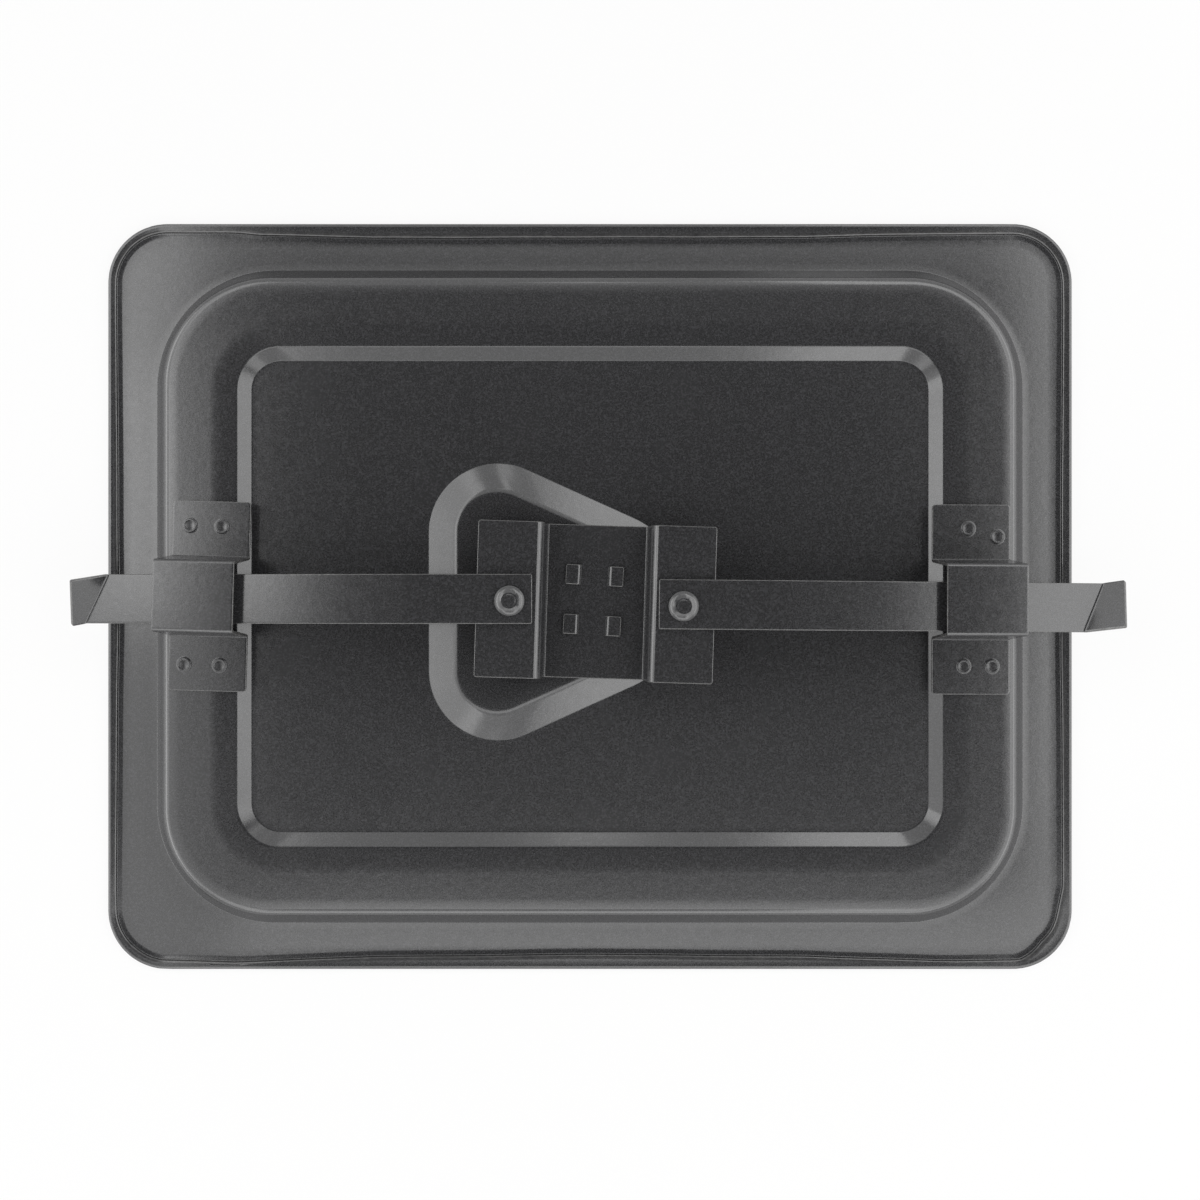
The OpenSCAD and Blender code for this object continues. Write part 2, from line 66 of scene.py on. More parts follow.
# what each rivet holds: burr washer, crank, spacer washer, strap
BURR_T = 0.6
SPACER_T = 0.5
CRANK_HIGH = CRANK_LOW + CRANK_RISE
STRAP_LOW = CRANK_HIGH + CRANK_T + SPACER_T
# the bail's wire: its height, and its pivot's distance from the hub
WIRE_Z = 2.2
PIVOT = 6.0


class Body(Enum):
    """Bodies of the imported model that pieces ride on."""

    LID = "lid"
    CRANK = "crank"
    BAIL = "bail"
    LEFT_BOLT = "left_bolt"
    RIGHT_BOLT = "right_bolt"


class Side(Enum):
    """Ends of the lid, by the sign of their X."""

    LEFT = -1
    RIGHT = 1

    @property
    def word(self) -> str:
        """The side's name in lower case."""
        return self.name.lower()

    @property
    def bolt(self) -> Body:
        """Body that carries this side's strap."""
        return Body.LEFT_BOLT if self is Side.LEFT else Body.RIGHT_BOLT


# ---------------------------------------------------------------- numbers and small helpers


def linear(hex_colour: str) -> tuple[float, float, float, float]:
    """Turns an sRGB hex colour into linear red, green, blue and alpha.

    Args:
        hex_colour: six hex digits with a leading hash.

    Returns:
        The linear colour with alpha 1.
    """
    parts = [int(hex_colour[i : i + 2], 16) / 255 for i in (1, 3, 5)]
    toned = [p / 12.92 if p <= 0.04045 else ((p + 0.055) / 1.055) ** 2.4 for p in parts]
    return (toned[0], toned[1], toned[2], 1.0)


def add_node(
    tree: bpy.types.NodeTree,
    kind: str,
    settings: dict[str, object] | None = None,
    inputs: dict[str | int, object] | None = None,
) -> bpy.types.Node:
    """Adds one node, sets its properties and fills its sockets.

    Args:
        tree: node tree that gets the node.
        kind: the node's type, such as ShaderNodeTexNoise.
        settings: properties to set on the node.
        inputs: by socket name or number, a value to set or an output socket to link.

    Returns:
        The new node.
    """
    made = tree.nodes.new(kind)
    for name, value in (settings or {}).items():
        setattr(made, name, value)
    for name, value in (inputs or {}).items():
        if isinstance(value, bpy.types.NodeSocket):
            tree.links.new(value, made.inputs[name])
        else:
            made.inputs[name].default_value = value
    return made


def turned(points: np.ndarray, angle: float) -> np.ndarray:
    """Turns points about Z: x' = x cos a - y sin a, y' = x sin a + y cos a."""
    c, s = math.cos(angle), math.sin(angle)
    out = points.copy()
    out[..., 0] = points[..., 0] * c - points[..., 1] * s
    out[..., 1] = points[..., 0] * s + points[..., 1] * c
    return out


def moved(points: np.ndarray, x: float = 0.0, y: float = 0.0, z: float = 0.0) -> np.ndarray:
    """Shifts points by x, y and z."""
    return points + np.array([x, y, z])


def on_crank(points: np.ndarray) -> np.ndarray:
    """Carries points from the crank's own axes to the lid's: turned, then moved to the hub."""
    return moved(turned(points, CRANK_TURN), HUB[0], HUB[1])


def rivet_axis(side: Side) -> np.ndarray:
    """Place in plan of one side's rivet: along the crank and a little below its middle line."""
    return on_crank(np.array([side.value * RIVET_REACH, -RIVET_DROP, 0.0]))


def steps(first: float, last: float, spacing: float) -> np.ndarray:
    """Even steps from first to last, none of them longer than spacing."""
    return np.linspace(first, last, max(1, math.ceil(abs(last - first) / spacing)) + 1)


def mirrored_ends(arm: np.ndarray) -> np.ndarray:
    """Joins rising stations with their mirror image: -arm backwards, then arm."""
    return np.unique(np.round(np.concatenate([-arm[::-1], arm]), 6))


# ---------------------------------------------------------------- grids of points into meshes


@dataclass
class Shell:
    """Points, faces and an edge value per point, for scuffing and a painted highlight, gathered for
    one mesh.
    """

    points: list[np.ndarray] = field(default_factory=list)
    faces: list[np.ndarray] = field(default_factory=list)
    wear_and_sheen: list[np.ndarray] = field(default_factory=list)
    count: int = 0

    def add_grid(
        self,
        grid: np.ndarray,
        wear_and_sheen: np.ndarray | None = None,
        closed: tuple[bool, bool] = (False, True),
        flip: bool = False,
    ) -> int:
        """Adds a surface P(i, j) as quads between neighbouring points of the grid.

        Args:
            grid: points of shape (rows, columns, 3).
            wear_and_sheen: value per point of the paler edge colour, scuffing and a painted
                highlight, 0 where it is missing.
            closed: whether the last row joins the first, and the last column the first.
            flip: turns the faces round.

        Returns:
            Index of the grid's first point.
        """
        rows, cols = grid.shape[:2]
        i = np.arange(rows if closed[0] else rows - 1)
        j = np.arange(cols if closed[1] else cols - 1)
        ii, jj = np.meshgrid(i, j, indexing="ij")
        i2, j2 = (ii + 1) % rows, (jj + 1) % cols
        quad = np.stack([ii * cols + jj, i2 * cols + jj, i2 * cols + j2, ii * cols + j2], axis=-1)
        quad = quad.reshape(-1, 4)
        start = self.count
        self.faces.append((quad[:, ::-1] if flip else quad) + start)
        self.points.append(grid.reshape(-1, 3))
        value = np.broadcast_to(0.0 if wear_and_sheen is None else wear_and_sheen, (rows, cols))
        self.wear_and_sheen.append(value.ravel())
        self.count += rows * cols
        return start

    def add_faces(self, faces: np.ndarray) -> None:
        """Adds faces between points that are already there."""
        self.faces.append(faces)

    def build(self, name: str, finish: bpy.types.Material, merge: float = 1e-4) -> bpy.types.Object:
        """Makes the mesh object, in metres, with doubles merged and normals outward.

        Args:
            name: the piece's name.
            finish: its material.
            merge: distance in millimetres within which points become one.

        Returns:
            The object, linked to the scene.
        """
        points = np.concatenate(self.points) * MM
        mesh = bpy.data.meshes.new(name)
        mesh.from_pydata(points.tolist(), [], [f for part in self.faces for f in part.tolist()])
        # each point's share of the paler edge colour: scuffed film and a painted highlight along the
        # edges
        wear_and_sheen_layer = mesh.attributes.new("wear_and_sheen", "FLOAT", "POINT")
        wear_and_sheen_layer.data.foreach_set("value", np.concatenate(self.wear_and_sheen).astype(np.float32))
        work = bmesh.new()
        work.from_mesh(mesh)
        bmesh.ops.remove_doubles(work, verts=work.verts, dist=merge * MM)
        bmesh.ops.dissolve_degenerate(work, edges=work.edges, dist=merge * MM)
        bmesh.ops.recalc_face_normals(work, faces=work.faces)
        work.to_mesh(mesh)
        work.free()
        mesh.materials.append(finish)
        mesh.shade_smooth()
        made = bpy.data.objects.new(name, mesh)
        bpy.context.scene.collection.objects.link(made)
        return made


def fillet_path(corners: list[tuple[float, float]], radii: list[float], cuts: int = 7) -> np.ndarray:
    """Rounds an open path's inner corners with arcs.

    A corner's arc starts and ends at r tan(turn / 2) from it, on the two straight stretches,
    and is stepped by equal angles about the centre on the corner's bisector.

    Args:
        corners: the path's corners in order.
        radii: radius at each corner, 0 for none; the two ends aren't rounded.
        cuts: steps in each arc.

    Returns:
        Points of shape (n, 2).
    """
    path = [np.array(corners[0])[None]]
    for k in range(1, len(corners) - 1):
        a, b, c = (np.array(corners[k + d], dtype=float) for d in (-1, 0, 1))
        u, v = (a - b) / np.linalg.norm(a - b), (c - b) / np.linalg.norm(c - b)
        half = math.acos(float(np.clip(u @ v, -1, 1))) / 2
        if radii[k] <= 0 or math.pi / 2 - half < 1e-4:
            path.append(b[None])
            continue
        centre = b + (u + v) / np.linalg.norm(u + v) * radii[k] / math.sin(half)
        reach = radii[k] / math.tan(half)
        first = b + u * reach - centre
        sweep = math.pi - 2 * half
        side = np.sign(first[0] * v[1] - first[1] * v[0])
        t = np.linspace(0, sweep, cuts + 1) * side
        x = first[0] * np.cos(t) - first[1] * np.sin(t)
        y = first[0] * np.sin(t) + first[1] * np.cos(t)
        path.append(centre + np.stack([x, y], axis=-1))
    path.append(np.array(corners[-1])[None])
    return np.concatenate(path)


def path_normals(path: np.ndarray) -> np.ndarray:
    """Unit normals of an open path: its tangent by central differences, turned a quarter left."""
    tangent = np.gradient(path, axis=0)
    tangent /= np.linalg.norm(tangent, axis=1, keepdims=True)
    return np.stack([-tangent[:, 1], tangent[:, 0]], axis=-1)


def revolve(
    profile: np.ndarray, cuts: int = 96, centre: tuple[float, float] = (0.0, 0.0)
) -> np.ndarray:
    """Carries a profile round a vertical axis: (r cos t, r sin t, z) for each t and profile point.

    Args:
        profile: points (radius, height).
        cuts: steps round the axis.
        centre: the axis in plan.

    Returns:
        Grid of shape (cuts, len(profile), 3), closed in its rows.
    """
    t = np.linspace(0, 2 * math.pi, cuts, endpoint=False)[:, None]
    r, z = profile[:, 0][None], profile[:, 1][None]
    return np.stack([centre[0] + r * np.cos(t), centre[1] + r * np.sin(t), z + 0 * t], axis=-1)


def ring_profile(r_in: float, r_out: float, low: float, high: float, edge: float) -> np.ndarray:
    """Closed section of a flat ring with rounded edges, its last point not repeated."""
    mid = (r_in + r_out) / 2
    loop = fillet_path(
        [(mid, low), (r_out, low), (r_out, high), (r_in, high), (r_in, low), (mid, low)],
        [0, edge, edge, edge, edge, 0],
        4,
    )
    return loop[:-1]


# ---------------------------------------------------------------- folded sheet


@dataclass
class Fold:
    """One bend of a flat blank about a straight line.

    Attributes:
        at: point in plan where the bend starts.
        towards: direction in plan, square to the bend line, of the part that is bent.
        angle: turn in degrees, positive when the part comes up.
        inner: radius of the bend's inner face.
    """

    at: tuple[float, float]
    towards: tuple[float, float]
    angle: float
    inner: float

    def apply(self, points: np.ndarray, thick: float) -> np.ndarray:
        """Bends points of a blank that lies between z = 0 and z = thick.

        With d the distance beyond the line and h the height, a point inside the bend goes to
        ((c - h) sin f, c - (c - h) cos f), where c is the height of the bend's centre and
        f = d / (c - thick / 2); what is beyond the bend goes straight on from its end.

        Args:
            points: points of the blank, bent at most beyond this fold.
            thick: the sheet's thickness.

        Returns:
            The bent points.
        """
        out = np.array(self.towards) / math.hypot(*self.towards)
        turn = math.radians(self.angle)
        centre = thick + self.inner if turn > 0 else -self.inner
        neutral = centre - thick / 2
        length = neutral * turn
        d = (points[..., 0] - self.at[0]) * out[0] + (points[..., 1] - self.at[1]) * out[1]
        h = points[..., 2]
        f = np.clip(d / neutral, min(turn, 0), max(turn, 0)) if turn else 0 * d
        beyond = np.maximum(d - length, 0)
        new_d = (centre - h) * np.sin(f) + beyond * math.cos(turn)
        new_h = centre - (centre - h) * np.cos(f) + beyond * math.sin(turn)
        bent = points.copy()
        change = np.where(d > 0, new_d - d, 0)
        bent[..., 0] += change * out[0]
        bent[..., 1] += change * out[1]
        bent[..., 2] = np.where(d > 0, new_h, h)
        return bent


@dataclass
class Blank:
    """Flat rectangle of sheet with rounded edges, bent along its folds.

    Attributes:
        first: coordinate of one end along X.
        last: coordinate of the other end.
        wide: width across, along Y.
        thick: thickness; the blank's underside is z = 0.
        edge: radius that the cut edges are rounded to.
        corner: radius of the four corners in plan.
        stations: extra stations along X where the blank bends.
        across: greatest step across the blank.
        along: greatest step along its flat stretches.
        near_edge: distance of the outermost stations across it from its edges.
        edge_cuts: steps in each rounded edge.
    """

    first: float
    last: float
    wide: float
    thick: float
    edge: float = 0.16
    corner: float = 0.6
    stations: tuple[float, ...] = ()
    across: float = 1.2
    along: float = 2.0
    near_edge: float = 0.35
    edge_cuts: int = 4

    def shares(self) -> np.ndarray:
        """Stations across the blank, as shares of its half width from -1 to 1."""
        half = self.wide / 2
        ends = [-1 + self.near_edge / half, 1 - self.near_edge / half]
        return np.unique(np.concatenate([steps(-1, 1, self.across / half), ends]))

    def shell(self, folds: list[Fold]) -> tuple[np.ndarray, np.ndarray]:
        """Works out the grid of the bent blank and its edge values, for scuffing and a painted
        highlight.

        The section at each station is a loop: top, rounded edge, underside, rounded edge.
        Near the ends it shrinks by e (1 - cos s) while it moves out by e sin s, which rounds
        the end edges, and its width follows the corner's circle in plan.

        Args:
            folds: bends, the outermost first.

        Returns:
            Points of shape (stations, loop, 3) and edge values, scuffing plus painted highlight, of
            shape (stations, loop).
        """
        e, half = self.edge, self.wide / 2
        margin = self.corner + 0.5
        ends = np.append(np.linspace(0, 1, 6) ** 1.5 * self.corner, margin)
        inner = steps(self.first + margin, self.last - margin, self.along)
        a = np.concatenate([self.first + e + ends, inner, self.last - e - ends, self.stations])
        a = np.unique(np.round(a, 5))
        s = np.linspace(0, math.pi / 2, self.edge_cuts + 1)[1:]
        out, back = e * np.sin(s), e - e * np.cos(s)
        a_all = np.concatenate([(self.first + e - out)[::-1], a, self.last - e + out])
        inset = np.concatenate([back[::-1], 0 * a, back])
        near = np.minimum(a_all - self.first, self.last - a_all)
        short = np.clip(self.corner - near, 0, self.corner)
        width = half - (self.corner - np.sqrt(np.maximum(self.corner**2 - short**2, 0))) - inset

        q = np.linspace(0, math.pi / 2, self.edge_cuts + 1)
        rad = (e - inset)[:, None]
        reach = width[:, None] - rad
        flat = reach * self.shares()[None]
        top = (self.thick - inset)[:, None]
        low = inset[:, None]
        y = np.concatenate(
            [
                flat,
                reach + rad * np.sin(q)[1:],
                reach + rad * np.cos(q),
                flat[:, ::-1][:, 1:],
                -(reach + rad * np.sin(q)[1:]),
                -(reach + rad * np.cos(q))[:, :-1],
            ],
            axis=1,
        )
        z = np.concatenate(
            [
                top + 0 * flat,
                top - rad + rad * np.cos(q)[1:],
                low + rad - rad * np.sin(q),
                low + 0 * flat[:, 1:],
                low + rad - rad * np.cos(q)[1:],
                (top - rad + rad * np.sin(q))[:, :-1],
            ],
            axis=1,
        )
        x = np.broadcast_to(a_all[:, None], y.shape)
        grid = np.stack([x, y, z], axis=-1)
        rounded = (z > low + 1e-6) & (z < top - 1e-6)
        # rounded edges and ends take the paler colour in full: scuffed film and a painted highlight
        # along each edge
        wear_and_sheen = np.where(rounded | (inset[:, None] > 0), 1.0, 0.0)
        for fold in folds:
            grid = fold.apply(grid, self.thick)
        return grid, wear_and_sheen

    def add_to(self, shell: Shell, grid: np.ndarray, wear_and_sheen: np.ndarray) -> None:
        """Adds the grid to a shell and closes both ends with strips from top to underside."""
        rows, loop = grid.shape[:2]
        start = shell.add_grid(grid, wear_and_sheen)
        top = np.arange(len(self.shares()))
        under = (len(top) + 2 * self.edge_cuts + top)[::-1]
        for row, flip in ((0, False), (rows - 1, True)):
            a, b = start + row * loop + top, start + row * loop + under
            quads = np.stack([a[:-1], a[1:], b[1:], b[:-1]], axis=-1)
            shell.add_faces(quads[:, ::-1] if flip else quads)


# ---------------------------------------------------------------- finishes


@dataclass(frozen=True)
class BlackEnamel:
    """Satin black stoving enamel, sprayed on steel and baked.

    It gives the eye a near-black body, broad soft highlights broken up by a faint orange peel,
    and a paler line on the sheet's edges: partly film that is thin or scuffed there, partly a
    painted highlight along each edge.
    """

    name: str
    body: str = "#2a2a2b"
    cloudy: str = "#2f2f30"
    grit: str = "#3f3f41"
    # paler colour on the edges: thin or scuffed film, and a painted highlight along each edge
    edge_wear_and_sheen: str = "#6d6c6a"
    rough_low: float = 0.15
    rough_high: float = 0.19
    ior: float = 1.75
    cloud_mm: float = 17.0
    speck_mm: float = 2.4
    peel_mm: float = 1.6
    peel: float = 0.007
    grain_mm: float = 0.5
    grain: float = 0.003
    # how much of that paler colour, scuffing and painted highlight, the edges get
    rub_and_sheen: float = 0.55

    def build(self) -> bpy.types.Material:
        """Builds the material.

        Returns:
            The material, its patterns in Object coordinates, so in metres.
        """
        made = bpy.data.materials.new(self.name)
        made.use_nodes = True
        tree = made.node_tree
        tree.nodes.clear()
        where = add_node(tree, "ShaderNodeTexCoord").outputs["Object"]

        # real grit in the film is finer than half a millimetre, and drawn coarser so that it shows
        noises = []
        for size_mm, detail, roughness in (
            (self.cloud_mm, 4.0, 0.5),
            (self.speck_mm, 3.0, 0.7),
            (self.peel_mm, 1.0, 0.4),
            (self.grain_mm, 1.0, 0.5),
        ):
            inputs = {"Vector": where, "Scale": 1 / (size_mm * MM), "Detail": detail}
            inputs["Roughness"] = roughness
            noises.append(add_node(tree, "ShaderNodeTexNoise", {}, inputs).outputs["Fac"])
        cloud, speck, peel, grain = noises

        ranges = []
        for value, low, high, to_low, to_high in (
            (grain, 0.45, 0.75, 0.0, 1.0),
            (speck, 0.35, 0.7, 0.15, 1.0),
            (speck, 0.3, 0.7, self.rough_low, self.rough_high),
        ):
            inputs = {"Value": value, "From Min": low, "From Max": high}
            inputs |= {"To Min": to_low, "To Max": to_high}
            ranges.append(add_node(tree, "ShaderNodeMapRange", {}, inputs).outputs["Result"])
        gritty, patchy, rough = ranges

        # the mesh's edge value times patchy noise and strength: where the paler colour goes,
        # scuffing and a painted edge highlight
        fac = add_node(tree, "ShaderNodeAttribute", {"attribute_name": "wear_and_sheen"}).outputs["Fac"]
        for factor in (patchy, self.rub_and_sheen):
            inputs = {0: fac, 1: factor}
            fac = add_node(tree, "ShaderNodeMath", {"operation": "MULTIPLY"}, inputs).outputs[0]
        colour = linear(self.body)
        for share, paint in ((cloud, self.cloudy), (gritty, self.grit), (fac, self.edge_wear_and_sheen)):
            inputs = {"Factor": share, 6: colour, 7: linear(paint)}
            colour = add_node(tree, "ShaderNodeMix", {"data_type": "RGBA"}, inputs).outputs[2]

        inputs = {"Height": peel, "Strength": 1.0, "Distance": self.peel * MM}
        normal = add_node(tree, "ShaderNodeBump", {}, inputs).outputs["Normal"]
        inputs = {"Height": grain, "Normal": normal, "Strength": 1.0, "Distance": self.grain * MM}
        normal = add_node(tree, "ShaderNodeBump", {}, inputs).outputs["Normal"]
        shader = add_node(
            tree,
            "ShaderNodeBsdfPrincipled",
            {},
            {"Base Color": colour, "Roughness": rough, "IOR": self.ior, "Normal": normal},
        )
        add_node(tree, "ShaderNodeOutputMaterial", {}, {"Surface": shader.outputs[0]})
        return made


@dataclass(frozen=True)
class PlainSteel:
    """Cold-rolled washer steel, turned and lightly oiled.

    It gives the eye a mid-grey metal with fine rings about its axis and soft stains of oil.
    """

    name: str
    clean: str = "#a4a5a6"
    stained: str = "#77736c"
    rough: float = 0.38
    ring_mm: float = 0.986
    stain_mm: float = 5.556
    mark: float = 0.03

    def build(self) -> bpy.types.Material:
        """Builds the material, with its rings about the vertical through the hub."""
        made = bpy.data.materials.new(self.name)
        made.use_nodes = True
        tree = made.node_tree
        tree.nodes.clear()
        where = add_node(tree, "ShaderNodeTexCoord").outputs["Object"]
        centred = add_node(
            tree,
            "ShaderNodeMapping",
            {},
            {"Vector": where, "Location": (-HUB[0] * MM, -HUB[1] * MM, 0.0)},
        ).outputs["Vector"]
        # rings a millimetre apart, coarser than real turning marks so that they show; a wave
        # texture at scale 1 repeats every pi / 10
        rings = add_node(
            tree,
            "ShaderNodeTexWave",
            {"wave_type": "RINGS", "rings_direction": "Z"},
            {"Vector": centred, "Scale": math.pi / 10 / (self.ring_mm * MM), "Distortion": 1.5},
        ).outputs["Fac"]
        inputs = {"Vector": where, "Scale": 1 / (self.stain_mm * MM), "Detail": 4.0}
        oil = add_node(tree, "ShaderNodeTexNoise", {}, inputs).outputs["Fac"]
        colour = add_node(
            tree,
            "ShaderNodeMix",
            {"data_type": "RGBA"},
            {"Factor": oil, 6: linear(self.clean), 7: linear(self.stained)},
        ).outputs[2]
        inputs = {"Height": rings, "Strength": 0.3, "Distance": self.mark * MM}
        marks = add_node(tree, "ShaderNodeBump", {}, inputs).outputs["Normal"]
        shader = add_node(
            tree,
            "ShaderNodeBsdfPrincipled",
            {},
            {"Base Color": colour, "Metallic": 1.0, "Roughness": self.rough, "Normal": marks},
        )
        add_node(tree, "ShaderNodeOutputMaterial", {}, {"Surface": shader.outputs[0]})
        return made


def place(piece: bpy.types.Object, body: Body, node: str) -> None:
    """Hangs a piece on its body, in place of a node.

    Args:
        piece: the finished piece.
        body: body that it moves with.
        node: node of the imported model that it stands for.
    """
    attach(piece, body.value)
    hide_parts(node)
    LOG.info("%s: %d faces on %s", piece.name, len(piece.data.polygons), body.value)


# ---------------------------------------------------------------- the pressed panel


@dataclass
class Outline:
    """Closed outline of tangent arcs (x, y, radius, first angle, last angle), anticlockwise."""

    arcs: list[tuple[float, float, float, float, float]]

    @classmethod
    def box(cls, half_x: float, half_y: float, radius: float) -> "Outline":
        """Rectangle about the origin with rounded corners."""
        signs = ((1, 1), (-1, 1), (-1, -1), (1, -1))
        return cls(
            [
                (sx * (half_x - radius), sy * (half_y - radius), radius, 90 * k, 90 * k + 90)
                for k, (sx, sy) in enumerate(signs)
            ]
        )

    def loop(self, inset: float, cuts: int = 400) -> np.ndarray:
        """Points round the outline drawn in by inset: each arc's radius is less by the inset."""
        arcs = np.array(self.arcs)
        t = np.radians(arcs[:, 3:4] + (arcs[:, 4:5] - arcs[:, 3:4]) * np.linspace(0, 1, cuts))
        r = arcs[:, 2:3] - inset
        x, y = arcs[:, 0:1] + r * np.cos(t), arcs[:, 1:2] + r * np.sin(t)
        return np.stack([x, y], axis=-1).reshape(-1, 2)

    def at(self, bearings: np.ndarray, inset: float) -> np.ndarray:
        """Points of the inset outline that lie at the given bearings from the hub.

        The outline is cut into short chords, and along the chord that holds a bearing the
        ray's crossing is found from the cross products of its two ends with the ray.

        Args:
            bearings: angles in radians, rising.
            inset: distance that the outline is drawn in.

        Returns:
            Points of shape (bearings, 2).
        """
        loop = self.loop(inset) - HUB
        angle = np.unwrap(np.arctan2(loop[:, 1], loop[:, 0]))
        shift = np.floor((angle[0] + math.pi) / (2 * math.pi)) * 2 * math.pi
        angle = angle - shift
        loop = np.concatenate([loop, loop, loop])
        angle = np.concatenate([angle - 2 * math.pi, angle, angle + 2 * math.pi])
        k = np.clip(np.searchsorted(angle, bearings) - 1, 0, len(angle) - 2)
        a, b = loop[k], loop[k + 1]
        ray = np.stack([np.cos(bearings), np.sin(bearings)], axis=-1)
        ca = a[:, 0] * ray[:, 1] - a[:, 1] * ray[:, 0]
        cb = b[:, 0] * ray[:, 1] - b[:, 1] * ray[:, 0]
        f = (ca / np.where(np.abs(ca - cb) < 1e-12, 1, ca - cb))[:, None]
        return a + (b - a) * f + HUB

    def bearings(self, inset: float, cuts: int) -> np.ndarray:
        """Bearings from the hub of the points that cut each corner evenly."""
        loop = self.loop(inset, cuts) - HUB
        return np.arctan2(loop[:, 1], loop[:, 0])

    def row(self, bearings: np.ndarray, inset: float, z: float) -> np.ndarray:
        """Row of points on the inset outline, all at height z."""
        xy = self.at(bearings, inset)
        return np.concatenate([xy, np.full((len(xy), 1), z)], axis=1)


# how much wider than nominal the hem came out, by bearing from the lid's middle in degrees:
# widest along the middle of each side, with a jump near one corner and a pleat in another
HEM_WANDER = (
    (0.0, 0.0), (31.6, -0.5), (37.5, -0.3), (46.7, 0.0), (59.0, 0.7), (90.0, 0.9), (121.0, 0.9),
    (132.4, 0.2), (134.3, -0.55), (142.0, -0.6), (148.4, -0.7), (180.0, -0.1), (211.6, -0.8),
    (218.0, -0.2), (225.8, -1.0), (239.0, 0.5), (270.0, 1.1), (301.0, 0.6), (314.2, -0.7),
    (319.9, -0.4), (322.6, 1.6), (325.7, 1.0), (328.4, -0.5), (360.0, 0.0),
)


